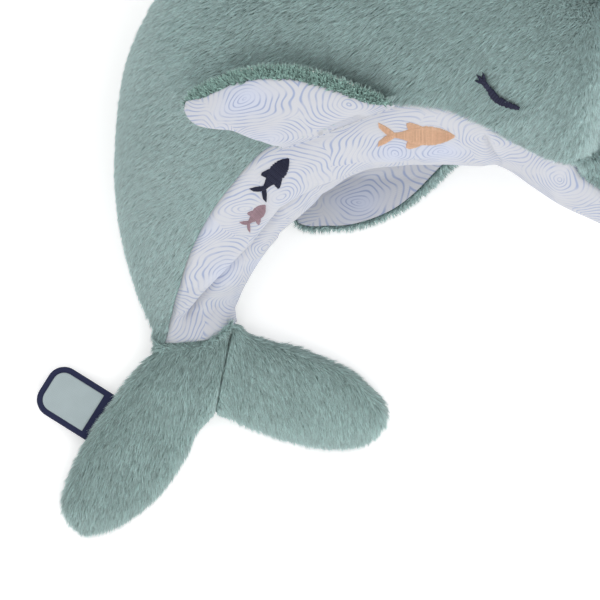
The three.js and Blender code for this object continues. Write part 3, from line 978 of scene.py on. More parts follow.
@dataclass(frozen=True)
class WovenFinish:
    """A close woven tape."""

    name: str
    colour: Colour
    pitch: float = 0.0006
    tone: tuple = (0.82, 1.1)
    patches: tuple = (160.0, 0.12)
    relief: tuple = (0.5, 0.0002)

    def material(self) -> Material:
        """Builds the colour and the relief of its weave.

        Returns:
            The material.
        """
        dye = Dye(self.name, {"Roughness": 0.75, "Specular IOR Level": 0.2})
        cloth = dye.cloth()
        weave = dye.group(GROUPS.weave, {"Vector": cloth, "Pitch": self.pitch}).outputs[0]
        tone = dye.graph.ramp(weave, 0.0, 1.0, self.tone)
        dye.paint(dye.graph.vector("SCALE", self.colour, tone), cloth, *self.patches)
        dye.relief(weave, *self.relief)
        return dye.material


@dataclass(frozen=True)
class FibreFinish:
    """Loose white polyester filling."""

    name: str = "fibre_filling"
    colour: Colour = (0.82, 0.81, 0.77)
    patches: tuple = (90.0, 0.3)
    mat: tuple = (700.0, 6.0)
    relief: tuple = (0.7, 0.001)

    def material(self) -> Material:
        """Builds a soft white with a matted relief.

        Returns:
            The material.
        """
        dye = Dye(self.name, {"Roughness": 1.0})
        at = dye.spot()
        dye.paint(self.colour, at, *self.patches)
        dye.relief(dye.graph.noise(at, *self.mat).outputs[0], *self.relief)
        return dye.material


class Finishes:
    """Every finish's material, built once."""

    def __init__(self) -> None:
        """Builds the materials."""
        # each pile: a root colour darkened by painted shade, a tip colour, and a spread
        pile = (0.2, 0.31, 0.3), (0.58, 0.755, 0.745), 0.72
        long_pile = (0.16, 0.265, 0.25), (0.55, 0.725, 0.706), 0.85
        # painted shade: the flipper rim's pile is a darker copy of the sage pile, for the shaded crevice
        # along its edge
        rim_pile_painted_shade = (0.02, 0.06, 0.05), (0.36, 0.55, 0.5), 1.2
        self.pile = PileFinish("sage_pile", *pile).material()
        self.long_pile = PileFinish("sage_long_pile", *long_pile).material()
        self.rim_pile_painted_shade = PileFinish("sage_rim_pile", *rim_pile_painted_shade).material()
        self.backing = BackingFinish("sage_backing", (0.26, 0.37, 0.355)).material()
        self.tip = ThreadFinish("sage_stitching", (0.22, 0.32, 0.305)).material()
        # painted shade: a darker copy of the sage backing for the flipper's plush face, so gaps in its pile
        # look shaded
        self.rim_backing_painted_shade = BackingFinish("sage_rim_backing", (0.05, 0.10, 0.085)).material()
        self.print = PrintFinish().material()
        self.fibre = FibreFinish().material()
        self.navy = ThreadFinish("navy_thread", (0.016, 0.018, 0.04)).material()
        self.orange = ThreadFinish("orange_thread", (0.60, 0.39, 0.265), 0.3).material()
        self.mauve = ThreadFinish("mauve_thread", (0.30, 0.205, 0.235), 0.3).material()
        self.label_navy = WovenFinish("navy_tape", (0.017, 0.021, 0.058)).material()
        self.label_sage = WovenFinish("sage_tape", (0.37, 0.44, 0.455)).material()


# Pile


@dataclass(frozen=True)
class Coat:
    """Plush pile as tufts: slim spikes of three sides that lean along the comb.

    A tuft's root is a small triangle in the backing. Its tip is its length along the comb times the
    cosine of its lean, plus the normal times the sine. Its colour carries a painted sheen: it is lighter
    where the cloth faces the way that it is combed, and less so where the pile is unruly. The comb wavers in
    waves as long as gust, the lean and the shade in waves as long as lump.
    """

    length: float = 5.2
    width: float = 0.62
    lean: float = 21.0
    stray: float = 0.12
    wind: float = 0.12
    floor: float = 0.15
    # strength of the painted sheen, lighter where the cloth faces the way of the comb
    painted_sheen: float = 0.0
    gust: float = 14.0
    lump: float = 3.2
    lump_lean: float = 4.0
    stray_lean: float = 6.0
    lump_shade: float = 0.05
    stray_shade: float = 0.26
    lengths: tuple = (0.75, 1.2)
    widths: tuple = (0.75, 1.25)
    bury: float = 0.3

    def grow(
        self,
        name: str,
        material: Material,
        grid: Array,
        inner: Array,
        count: int,
        comb: Callable[[Array], Array],
        seed: int,
        weight: Array | None = None,
        scale: Array | None = None,
        ruffle: Array | None = None,
    ) -> Piece:
        """Plants tufts evenly over a grid.

        Args:
            name: The piece's name.
            material: The fibre.
            grid: The backing's outer points, (rows, columns, 3).
            inner: Its inner points, which tell what is outward.
            count: How many tufts.
            comb: Gives the way the pile is combed at points, as vectors.
            seed: The start of the random draws.
            weight: How thickly each point of the grid is planted, from 0 to 1.
            scale: Each point's share of the full length.
            ruffle: How unruly the pile is at each point, where 1 is usual.

        Returns:
            The piece.
        """
        rng = np.random.default_rng(seed)
        ones = np.ones(grid.shape[:2])
        share, *shares = (ones if given is None else given for given in (weight, scale, ruffle))
        fields = np.concatenate([grid, outward_normals(grid, inner), np.stack(shares, axis=-1)], axis=-1)
        at = self._plant(fields, share, count, rng)
        root, normal, long, unruly = at[:, :3], unit(at[:, 3:6]), at[:, 6], at[:, 7]
        way = comb(root)
        facing = (way * normal).sum(-1)
        way = unit(way - normal * facing[:, None] + normal * 1e-6)
        side = np.cross(normal, way)
        turn = self.stray * rng.normal(size=count) + self.wind * waves(root, self.gust, seed + 1)
        way = way * np.cos(turn)[:, None] + side * np.sin(turn)[:, None]
        side = np.cross(normal, way)
        lump = waves(root, self.lump, seed + 2) * unruly
        lean = self.lean + self.lump_lean * lump + self.stray_lean * rng.normal(size=count)
        lean = np.radians(lean)[:, None]
        long = (long * self.length * rng.uniform(*self.lengths, count))[:, None]
        half = (self.width / 2 * rng.uniform(*self.widths, count))[:, None]
        tip = root + (way * np.cos(lean) + normal * np.sin(lean)) * long
        low = root - normal * self.bury
        points = np.stack([low - side * half, low + side * half, root + normal * half, tip], axis=1)
        points[..., 2] = np.maximum(points[..., 2], self.floor)
        faces = np.array([[0, 1, 3], [1, 2, 3], [2, 0, 3], [0, 2, 1]])
        faces = (np.arange(count)[:, None, None] * 4 + faces).reshape(-1, 3)
        shade = 0.5 + self.stray_shade * rng.normal(size=count) + self.lump_shade * lump
        # painted sheen: the shade rises where the cloth faces the way it is combed, less where the pile is
        # unruly
        shade = np.clip(shade + self.painted_sheen * facing / unruly, 0, 1)
        values = {"tip": np.tile([0.0, 0.0, 0.1, 1.0], count), "shade": np.repeat(shade, 4)}
        piece = make_piece(name, points.reshape(-1, 3), faces, material, values=values)
        self._map(piece, count)
        return piece

    @staticmethod
    def _plant(fields: Array, share: Array, count: int, rng: np.random.Generator) -> Array:
        """Spreads spots over a grid, by the areas of its cells.

        Args:
            fields: The grid's points and what else is known at each, (rows, columns, n).
            share: How thickly each point is planted.
            count: How many spots.
            rng: The random draws.

        Returns:
            The fields at the spots, (count, n).
        """
        a, b, c, d = fields[:-1, :-1], fields[:-1, 1:], fields[1:, 1:], fields[1:, :-1]
        area = np.linalg.norm(np.cross(c[..., :3] - a[..., :3], d[..., :3] - b[..., :3]), axis=-1)
        area = (area * (share[:-1, :-1] + share[1:, 1:]) / 2).ravel()
        total = np.cumsum(area)
        cell = np.searchsorted(total, (np.arange(count) + rng.random(count)) / count * total[-1])
        cell = np.minimum(cell, len(area) - 1)
        u, v = rng.random((2, count, 1))
        a, b, c, d = (x.reshape(-1, x.shape[-1])[cell] for x in (a, b, c, d))
        return (a * (1 - u) + b * u) * (1 - v) + (d * (1 - u) + c * u) * v

    @staticmethod
    def _map(piece: Piece, count: int) -> None:
        """Gives each tuft a cell of its own on the map that its colours go to.

        Args:
            piece: The tufts.
            count: How many there are.
        """
        side = int(np.ceil(np.sqrt(count)))
        k = np.arange(count)
        origin = np.stack([k % side, k // side], axis=-1) / side
        corner = np.array([[0.12, 0.15], [0.88, 0.15], [0.5, 0.1], [0.5, 0.9]]) / side
        uv = (origin[:, None] + corner).reshape(-1, 2)
        order = np.zeros(len(piece.data.loops), np.int32)
        piece.data.loops.foreach_get("vertex_index", order)
        layer = piece.data.uv_layers.new(name="OFBake")
        layer.data.foreach_set("uv", uv[order].astype(np.float32).ravel())


@dataclass(frozen=True)
class Comb:
    """The way the pile is combed, from a few places with angles, weighed by how near each is."""

    places: tuple
    blur: float = 10.0

    def __call__(self, points: Array) -> Array:
        """The way at points: the sum of the places' ways over the fourth power of their distances.

        Args:
            points: Places, (n, 3).

        Returns:
            Ways, (n, 3).
        """
        rows = np.array(self.places, float)
        far = ((points[:, None, :2] - rows[:, :2]) ** 2).sum(-1) + self.blur**2
        near = 1 / far**2
        angle = np.radians(rows[:, 2])
        way = (near[..., None] * np.stack([np.cos(angle), np.sin(angle)], axis=-1)).sum(1)
        return np.column_stack([unit(way), np.zeros(len(points))])


BODY_COMB = Comb(
    (
        (-75, 60, 213), (-70, 120, 210), (0, 130, 213), (60, 130, 213), (110, 115, 214), (75, 95, 222),
        (120, 80, 230), (140, 60, 234), (175, 45, 225), (-60, 20, 236), (-55, -15, 252), (40, 195, 222),
        (-20, 190, 214),
    )
)
RIGHT_LOBE_COMB = Comb(
    ((-60, -25, 252), (-85, -50, 250), (-60, -60, 258), (-95, -90, 256), (-100, -115, 262))
)
LEFT_LOBE_COMB = Comb(((-35, -25, 286), (-30, -55, 288), (0, -45, 286), (25, -55, 280), (42, -58, 276)))
FIN_COMB = Comb(((50, 212, 190), (30, 235, 196), (8, 246, 205)))


# Sub-assemblies


RIGHT_FLUKE = (
    (-72.6, -22.5, -34.3, -14.5, 0.22), (-77.3, -28.5, -35.7, -23, 0.75), (-87, -39.5, -39.2, -40, 1),
    (-97, -53, -43.3, -55.2, 1), (-105.6, -65.5, -50, -65.5, 1), (-112.6, -78, -56.5, -78, 1),
    (-118.2, -91, -65.5, -92, 0.95), (-120.6, -102, -78.5, -104.6, 0.85),
    (-117.5, -109.5, -92.5, -112.8, 0.6), (-111, -114, -103, -115, 0.25),
)
LEFT_FLUKE = (
    (-33, -11.6, -42.4, -56.3, 0.5), (-26, -15, -35.5, -59.5, 0.8), (-16, -19, -26, -64, 1),
    (-3, -22, -12, -69, 1), (11, -27.5, 2, -72.5, 1), (24, -33.5, 17, -74, 0.95),
    (33.5, -41.5, 29.5, -72.5, 0.85), (39.4, -47.5, 37.4, -68.4, 0.65), (42, -53.5, 41.4, -63, 0.35),
)
FIN = (
    (69, 203.5, 6, 201, 0.08), (66, 209.5, 8.5, 208, 0.09), (62.5, 214, 10, 212.5, 0.45),
    (57, 220, 11.2, 217, 0.85), (49, 228, 11.5, 223, 1), (38, 237, 10, 230, 0.95),
    (26, 244.5, 6, 237, 0.85), (14, 249, 2, 243.5, 0.65), (4.5, 249.5, 0.5, 247.5, 0.3),
)
FIN_STATION = 7 / 17  # where along the body the fin stands
LOBE_SAG = 7.0
TAIL_SEAM = Hinge("torso", "right_fluke", RIGHT_FLUKE[0][0:2], RIGHT_FLUKE[0][2:4], 9.0)
LOBE_SEAM = Hinge("right_fluke", "left_fluke", LEFT_FLUKE[0][2:4], LEFT_FLUKE[0][0:2], 10.0)
FIN_SEAM = Hinge("torso", "dorsal_fin", FIN[0][0:2], FIN[0][2:4], 9.0)


@dataclass
class Torso:
    """The stuffed body: two plush sides, the printed belly and the filling."""

    finishes: Finishes
    form: BodyForm = field(default_factory=BodyForm)
    backing_depth: float = 3.0
    rows: int = 280
    columns: int = 56
    belly_rows: int = 400
    belly_columns: int = 118
    tufts: int = 42000
    left_tufts: int = 27000
    right_patches: tuple = ((0.0, 0.31), (0.31, 0.45), (0.45, 0.59), (0.59, 1.0))
    left_patches: tuple = ((0.0, 0.44), (0.44, 1.0))
    # the body's pile carries a painted sheen where the cloth faces the way of the comb
    coat: Coat = Coat(painted_sheen=0.2)
    stuffing: Stuffing = Stuffing()
    slack: float = 0.4
    seam_hold: float = 1.05
    fold_hold: float = 1.6
    fold_hold_height: float = 15.0
    cloth_gap: float = 0.2
    seam_pile: float = 0.75
    seam_pile_reach: float = 4.0
    tail_trim: float = 0.95
    tail_trim_reach: tuple = (3.0, 12.0)
    tail_trim_end: tuple = (0.15, 0.3)
    cheek_ruffle: float = 3.0
    cheek_start: tuple = (0.5, 0.7)
    seam_dip: float = 1.0
    seam_reach: float = 2.2
    seams: tuple = (
        (36, 202), (57, 202), (76, 203), (92, 207), (102, 215), (113, 220), (124, 222), (123, 222),
        (125, 222), (130.5, 223), (134, 225), (127, 225), (111, 242), (86, 268), (75, 270), (76, 270),
        (82, 270), (90, 270),
    )
    belly_creases: tuple = (
        (((-66, -19), (-49, 0.75), (-39, 11), (-23.5, 26.5), (-9, 44.5), (7, 54), (15.5, 59)), 4.0),
        (((8, 54.5), (28.5, 62.6), (51, 67.2), (66.5, 69.5)), 2.4),
        (((91, 81.5), (95.5, 72.5), (100.5, 67)), 2.4),
        (((-40, -3), (-48, -11), (-55, -15.5), (-66, -20.5)), 1.4),
        (((-11, 30), (-6.5, 35.5), (7, 49.5), (19.5, 54.7), (26, 57)), 1.2),
    )
    cheek_creases: tuple = ((((162, 80), (150, 75), (144, 72), (138, 69.5), (131, 68)), 2.0),)
    armpit: tuple = ((-58, 102), (-44, 114), (-24, 119), (-12, 120.5), (0, 119), (20, 112.5), (48, 104))
    armpit_depth: float = 4.5
    armpit_width: float = 13.0
    fold_drop: float = 0.8
    fold_slope: float = 1.9
    fold_end: float = 9.0
    fold_ends: tuple = (0.08, 0.8)
    fold_heights: tuple = (8.0, 20.0)
    fold_sharpness: float = 1.3
    fold_roll: float = 0.3
    fold_room: float = 0.15
    fold_crowd: float = 0.45
    belly_pace: float = 0.62
    belly_cloth: float = 0.7
    hem_drops: tuple = ((0, 1.8), (36, 3.4), (60, 4.9), (100, 6.4), (125, 4.6), (165, 0), (360, 0))
    hem_lift: float = 0.55
    hem_length: float = 0.05
    plug_start: float = 0.985
    plug_depth: float = 0.3
    fillings: tuple = (
        ("tail_filling", 1, 10),
        ("chest_filling", 10, 20),
        ("head_filling", 20, 29),
        ("beak_filling", 29, 37),
    )
    rings: int = 38
    wad_gap: float = 0.06
    wad_depth: float = 6.0
    lump: float = 26.0
    lump_level: float = 5.0
    lump_depth: float = 1.1

    def __post_init__(self) -> None:
        """Draws the seams as a curve."""
        self.seam_curve = Spline(self.seams)

    def build(self) -> None:
        """Stuffs the body and makes the cloth, the pile and the filling."""
        self.swell = self.stuffing.press(
            "torso_balloon", lambda t, angle: self.form.point(t, angle, self.form.plush)[0], self.sewn
        )
        for side in Side:
            self.side(side)
        self.belly()
        self.tip()
        for name, first, last in self.fillings:
            self.filling(name, first, last)

    def seam_angles(self, t: Array) -> tuple[Array, Array]:
        """The near and far seams of the belly, in radians."""
        near, far = np.moveaxis(self.seam_curve(t), -1, 0)
        return np.radians(near), np.radians(far)

    def side_grid(self, upper: bool) -> tuple[Array, Array]:
        """A grid over a plush side, between the back and the belly's seam.

        Args:
            upper: Whether it is the side that lies upward.

        Returns:
            Grids of t and angle, (rows, columns).
        """
        t = np.linspace(0, 1, self.rows)
        near, far = self.seam_angles(t)
        start, stop = (np.zeros(self.rows), near) if upper else (far, np.full(self.rows, 2 * np.pi))
        angle = start[:, None] + (stop - start)[:, None] * np.linspace(0, 1, self.columns)
        return np.broadcast_to(t[:, None], angle.shape), angle

    def sewn(self, t: Array, angle: Array, points: Array) -> Array:
        """Where the body's cloth is held: within half a cell of a seam, and along the folds of the belly.

        Args:
            t: Places along the body.
            angle: Places round it, in radians.
            points: The points there.

        Returns:
            Whether each is held.
        """
        near, far = self.seam_angles(t)
        reach = self.seam_hold * np.pi / self.stuffing.columns
        seam = (np.abs(angle - near) < reach) | (np.abs(angle - far) < reach) | (angle < reach)
        folds = np.stack([np.abs(beside(points, line)[0]) for line, _ in self.belly_creases]).min(0)
        return seam | ((folds < self.fold_hold) & (points[..., 2] > self.fold_hold_height))

    def surface(self, t: Array, angle: Array, depth: Array | float) -> tuple[Array, Array]:
        """Points at a depth under the stuffed cloth's outside, and normals."""
        point, normal = self.form.point(t, angle, depth + self.slack - self.swell(t, angle))
        return point + self.hem(t, angle), normal

    def belly_depth(self, t: Array, angle: Array) -> Array:
        """How deep the printed cloth lies, with the dips at its seams and folds.

        Args:
            t: Places along the body.
            angle: Places round it, in radians.

        Returns:
            Depths in millimetres.
        """
        depth = self.form.plush - self.form.jersey
        section = self.form.section(t)
        pace = np.hypot(section.half * np.sin(angle), section.half_width * np.cos(angle))
        near, far = self.seam_angles(t)
        from_seam = np.minimum(angle - near, far - angle) * pace
        dip = self.seam_dip * np.exp(-((from_seam / self.seam_reach) ** 2))
        folds = self.creased(self.form.point(t, angle, depth)[0], self.belly_creases)
        return depth + dip + folds * smooth((far - angle) * pace, 0.0, self.fold_end)

    def belly_surface(self, t: Array, angle: Array) -> tuple[Array, Array]:
        """Points on the printed cloth, and normals."""
        return self.surface(t, angle, self.belly_depth(t, angle))

    def side(self, side: Side) -> None:
        """One plush side: its backing, and its pile in patches along the body.

        Args:
            side: Which side.
        """
        upper, name = side is Side.RIGHT, f"{side.value}_side"
        t, angle = self.side_grid(upper)
        fold = self.pressed(self.form.point(t, angle, self.backing_depth)[0]) if upper else 0.0
        outer = self.surface(t, angle, self.backing_depth + fold)[0]
        inner = self.surface(t, angle, self.form.plush - self.cloth_gap + fold)[0]
        cloth = make_sheet(f"{name}_plush", outer, inner, self.finishes.backing)
        TAIL_SEAM.bend(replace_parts(cloth, f"{name}_panel"), "plush")
        across = cloth_lengths(outer)[..., 1] / MM
        from_seam = np.abs(across - (across[:, -1:] if upper else across[:, :1]))
        scale = self.seam_pile + (1 - self.seam_pile) * smooth(from_seam, 0.0, self.seam_pile_reach)
        if not upper:
            near = 1 - smooth(from_seam, *self.tail_trim_reach)
            scale = scale * (1 - self.tail_trim * near * (1 - smooth(t, *self.tail_trim_end)))
        for i, (start, stop) in enumerate(self.right_patches if upper else self.left_patches):
            cut = slice(int(start * (self.rows - 1)), int(stop * (self.rows - 1)) + 1)
            seed = 100 * i + 7 * upper
            count = self.tufts if upper else self.left_tufts
            ruffle = 1 + self.cheek_ruffle * smooth(t[cut], *self.cheek_start)
            grown = self.coat.grow(
                f"{name}_pile_{i + 1}", self.finishes.pile, outer[cut], inner[cut], count, BODY_COMB, seed,
                scale=scale[cut], ruffle=ruffle,
            )
            if start:
                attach(grown, "torso")
            else:
                TAIL_SEAM.bend(grown, "plush")

    def hem(self, t: Array, angle: Array) -> Array:
        """How far the cloth's tail end falls over the fluke, from angles and drops, fading up the tail."""
        turns, drops = np.array(self.hem_drops, float).T
        drop = np.interp(np.degrees(angle), turns, drops) * (1 - smooth(t, 0.0, self.hem_length))
        back = self.form.section(np.zeros(1)).to_back[0]
        return drop[..., None] * np.array([-back[1], back[0], self.hem_lift])

    def creased(self, flat: Array, creases: tuple) -> Array:
        """How far folds sink the cloth: steeply from a roll on a line's left, rising slowly on its right.

        Args:
            flat: Points of the cloth.
            creases: Lines, each with its depth.

        Returns:
            Depths in millimetres.
        """
        dip = np.zeros(flat.shape[:-1])
        start, stop = self.fold_ends
        for line, deep in creases:
            off, share = beside(flat, line)
            fade = smooth(share, 0.0, start) * (1 - smooth(share, stop, 1.0))
            fade = fade * smooth(flat[..., 2], *self.fold_heights)
            width = np.where(off > 0, self.fold_slope, self.fold_drop)
            step = np.exp(-((np.abs(off) / width) ** self.fold_sharpness))
            roll = np.exp(-(((off + 2 * self.fold_slope) / (1.5 * self.fold_slope)) ** 2))
            roll = self.fold_roll * roll
            dip = dip + deep * fade * (step - roll)
        return dip

    def pressed(self, flat: Array) -> Array:
        """How far the upper side is pressed in: the cheek's fold and a round valley behind the flipper."""
        off, share = beside(flat, self.armpit)
        valley = np.exp(-((off / self.armpit_width) ** 2)) * np.sin(np.pi * share)
        return self.creased(flat, self.cheek_creases) + self.armpit_depth * valley

    def belly_grid(self) -> tuple[Array, Array]:
        """A grid over the belly that is finer toward the tail and beside the longest fold.

        Places along the body are a parabola of the row's share. Columns crowd toward the fold: on either
        side of it their step is a parabola of the share left.

        Returns:
            Grids of t and angle.
        """
        u = np.linspace(0, 1, self.belly_rows)
        t = u * (self.belly_pace + (1 - self.belly_pace) * u)
        near, far = self.seam_angles(t)
        fold_t, fold_angle = self.form.place(np.array(self.belly_creases[0][0], float))
        fold = (np.interp(t, fold_t, fold_angle) - near) / (far - near)
        fold = np.clip(fold, self.fold_room, 1 - self.fold_room)[:, None]
        share = np.linspace(0, 1, self.belly_columns) - fold
        room = np.where(share > 0, 1 - fold, fold)
        part = np.abs(share) / room
        share = fold + np.sign(share) * room * part * (self.fold_crowd + (1 - self.fold_crowd) * part)
        angle = near[:, None] + (far - near)[:, None] * share
        return np.broadcast_to(t[:, None], angle.shape), angle

    def belly(self) -> None:
        """The printed belly panel, turned in at its seams and creased where the toy bends."""
        t, angle = self.belly_grid()
        depth = self.belly_depth(t, angle)
        outer, inner = (self.surface(t, angle, depth + under)[0] for under in (0.0, self.belly_cloth))
        cloth = make_sheet("belly_print", outer, inner, self.finishes.print)
        TAIL_SEAM.bend(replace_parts(cloth, "belly_panel"), "print")

    def tip(self) -> None:
        """A plug of backing where the panels meet at the tip of the beak."""
        turn = np.linspace(0, 2 * np.pi, 25)
        t, angle = np.meshgrid(np.linspace(self.plug_start, 1, 6), turn, indexing="ij")
        rings = self.surface(t, angle, self.backing_depth + self.plug_depth)[0]
        plug = make_loft("beak_tip", rings, self.finishes.tip)
        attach(plug, "torso")

    def filling(self, name: str, first: int, last: int) -> None:
        """A wad of filling between two rings of the body, lumpy under the cloth.

        Args:
            name: The CAD node.
            first: Its first ring.
            last: Its last ring.
        """
        rings = np.linspace(first + self.wad_gap, last - self.wad_gap, 40)
        t, angle = np.meshgrid(rings / self.rings, np.linspace(0, 2 * np.pi, 65), indexing="ij")
        lumps = self.lump_depth * waves(self.form.point(t, angle, self.lump_level)[0], self.lump, first)
        rings = self.form.point(t, angle, self.form.plush + self.wad_depth + lumps)[0]
        wad = make_loft(f"{name}_fibre", rings, self.finishes.fibre)
        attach(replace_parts(wad, name), "torso")


@dataclass
class Embroidery:
    """Satin stitch on the body: strips of thread laid side by side across each shape."""

    finishes: Finishes
    torso: Torso
    rise: float = 1.1
    fish_stitch: tuple = (0.55, 0.16)
    eye_stitch: tuple = (1.3, 0.5)
    eye_depth: float = 0.6
    fish_depth: float = 3.0
    eye_arc: tuple = (
        (89.1, 107, 90.9, 108.4, 0.6), (92.4, 102, 94.9, 104, 1), (96, 97.5, 98.2, 100.1, 1),
        (99.9, 95.5, 101.3, 98.3, 1), (104, 94.1, 105, 96.7, 0.9), (108.2, 93.5, 108.6, 94.9, 0.4),
    )
    lashes: tuple = ((91, 106.8, 86.3, 107.9), (90.6, 107.2, 87, 110.9), (91.2, 106.6, 90.1, 112))
    lash_width: float = 1.9
    trunk: tuple = (
        (0, 0.05, 0, -0.05, 0.4), (0.12, 0.3, 0.12, -0.3, 1), (0.3, 0.48, 0.3, -0.48, 1),
        (0.52, 0.4, 0.52, -0.4, 1), (0.72, 0.16, 0.72, -0.16, 0.9), (0.84, 0.1, 0.84, -0.1, 0.8),
    )
    tail: tuple = ((0.76, 0.06, 0.8, -0.1, 0.8), (0.88, 0.4, 0.9, 0.06, 0.9), (1, 0.64, 0.99, 0.36, 0.4))
    fin: tuple = ((0.36, 0.34, 0.6, 0.26, 0.8), (0.46, 0.54, 0.62, 0.42, 0.8), (0.58, 0.68, 0.63, 0.62, 0.4))
    shoal: tuple = (
        ("orange", (76.7, 80.7), -1, 38.5, 9.4),
        ("navy", (-6.3, 68.6), 51, 24.0, 8.6),
        ("mauve", (-17.8, 45), 47, 15.0, 5.4),
    )
    thread_rows: int = 6
    columns: int = 15
    least_threads: int = 4
    crown: float = 0.6
    ridges: float = 0.45
    dyes: float = 0.45
    foot: float = 0.1
    bury: float = 0.5

    def build(self) -> None:
        """Makes both eyes and the three fish."""
        strips = [self.eye_arc, *(self.lash(row) for row in self.lashes)]
        for side in Side:
            name = f"{side.value}_eye_embroidery"
            work = (self.eye_stitch, self.cheek, side, self.eye_depth)
            self.stitch(f"{side.value}_eye", strips, work, name, self.finishes.navy)
        work = (self.fish_stitch, self.torso.belly_surface, Side.RIGHT, self.fish_depth)
        for colour, *shape in self.shoal:
            name, material = f"{colour}_fish", getattr(self.finishes, colour)
            self.stitch(f"{name}_stitches", self.fish(*shape), work, name, material)

    def cheek(self, t: Array, angle: Array) -> tuple[Array, Array]:
        """Points under the eyes' threads, and normals."""
        return self.torso.surface(t, angle, self.eye_depth)

    def lash(self, row: tuple) -> tuple:
        """A lash as a strip that narrows from its root to its tip.

        Args:
            row: Its root and its tip.

        Returns:
            The strip's rows.
        """
        start, stop = np.array(row[:2], float), np.array(row[2:], float)
        way = unit(stop - start)
        side = np.array([-way[1], way[0]]) * self.lash_width / 2
        shares = ((0, 1, 1), (0.5, 0.9, 0.9), (1, 0.2, 0.4))
        spots = [(start + (stop - start) * f, side * w, swell) for f, w, swell in shares]
        return tuple((*(spot - off), *(spot + off), swell) for spot, off, swell in spots)

    def fish(self, nose: tuple, turn: float, length: float, height: float) -> list[tuple]:
        """A fish's strips, from shares of its length and height turned to its place.

        Args:
            nose: Its nose in the layout.
            turn: Its turn in degrees.
            length: From nose to tail.
            height: Its body's height.

        Returns:
            The trunk, two tail lobes and two fins.
        """
        c, s = bearing(turn)

        def spot(along: float, up: float) -> tuple:
            """A place from shares of the length and the height."""
            x, y = -along * length, up * height
            return nose[0] + x * c - y * s, nose[1] + x * s + y * c

        def strip(rows: tuple, flip: float) -> tuple:
            """A strip's rows, on one side of the fish or the other."""
            return tuple((*spot(a, flip * b), *spot(d, flip * e), swell) for a, b, d, e, swell in rows)

        pairs = [strip(rows, flip) for rows in (self.tail, self.fin) for flip in (1, -1)]
        return [strip(self.trunk, 1), *pairs]

    def stitch(
        self, name: str, strips: list, work: tuple, node: str, material: Material
    ) -> None:
        """Strips of satin stitch as one piece.

        A strip's height is an oval across it, ridged along it once for each thread.

        Args:
            name: The piece's name.
            strips: Outlines of two edges and a swell.
            work: The thread's width and unevenness, the surface under it, the toy's side, and how deep
                the surface lies.
            node: The CAD node that they stand for.
            material: The thread.
        """
        (thread, uneven), surface, side, sink = work
        points, faces, dye_and_groove_shade, start = [], [], [], 0
        for k, outline in enumerate(strips):
            rows = np.array(outline, float)
            length = np.linalg.norm(np.diff((rows[:, :2] + rows[:, 2:4]) / 2, axis=0), axis=1).sum()
            threads = max(self.least_threads, int(length / thread))
            count, columns = self.thread_rows * threads + 1, self.columns
            edge_a, edge_b, swell = Spline(rows[:, :2]), Spline(rows[:, 2:4]), Spline(rows[:, 4:5])
            t, across = np.meshgrid(np.linspace(0, 1, count), np.linspace(-1, 1, columns), indexing="ij")
            turn = t * threads
            ridge = np.abs(np.sin(np.pi * turn))
            number = np.floor(np.minimum(turn, threads - 0.01)).astype(int)
            rng = np.random.default_rng(k)
            ends = rng.random((2, threads))[(across > 0).astype(int), number] - 0.5
            over = across * (1 + uneven * ends * ridge)
            spot = (edge_a(t) * (1 - over)[..., None] + edge_b(t) * (1 + over)[..., None]) / 2
            high = self.rise * swell(t)[..., 0] * np.sqrt(np.maximum(1 - across**2, 0)) ** self.crown
            high = high * (1 - self.ridges + self.ridges * ridge) + self.foot
            place, angle = self.torso.form.place(spot.reshape(-1, 2), sink)
            base, normal = surface(place, angle if side is Side.RIGHT else -angle)
            top = base + normal * high.reshape(-1, 1)
            points += [top, base - normal * self.bury]
            faces.append(turned_outward(np.concatenate(points[-2:]), sheet_faces(count, columns)) + start)
            # painted shade and highlight: the colour darkens in each thread's groove and lightens on its
            # crest, mixed with its own dye
            dye = rng.random(threads)[number]
            dye_and_groove_shade.append(np.tile(((1 - self.dyes) * ridge + self.dyes * dye).ravel(), 2))
            start += 2 * count * columns
        values = {"shade": np.concatenate(dye_and_groove_shade)}
        piece = make_piece(name, np.concatenate(points), np.concatenate(faces), material, values=values)
        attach(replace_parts(piece, node), "torso")


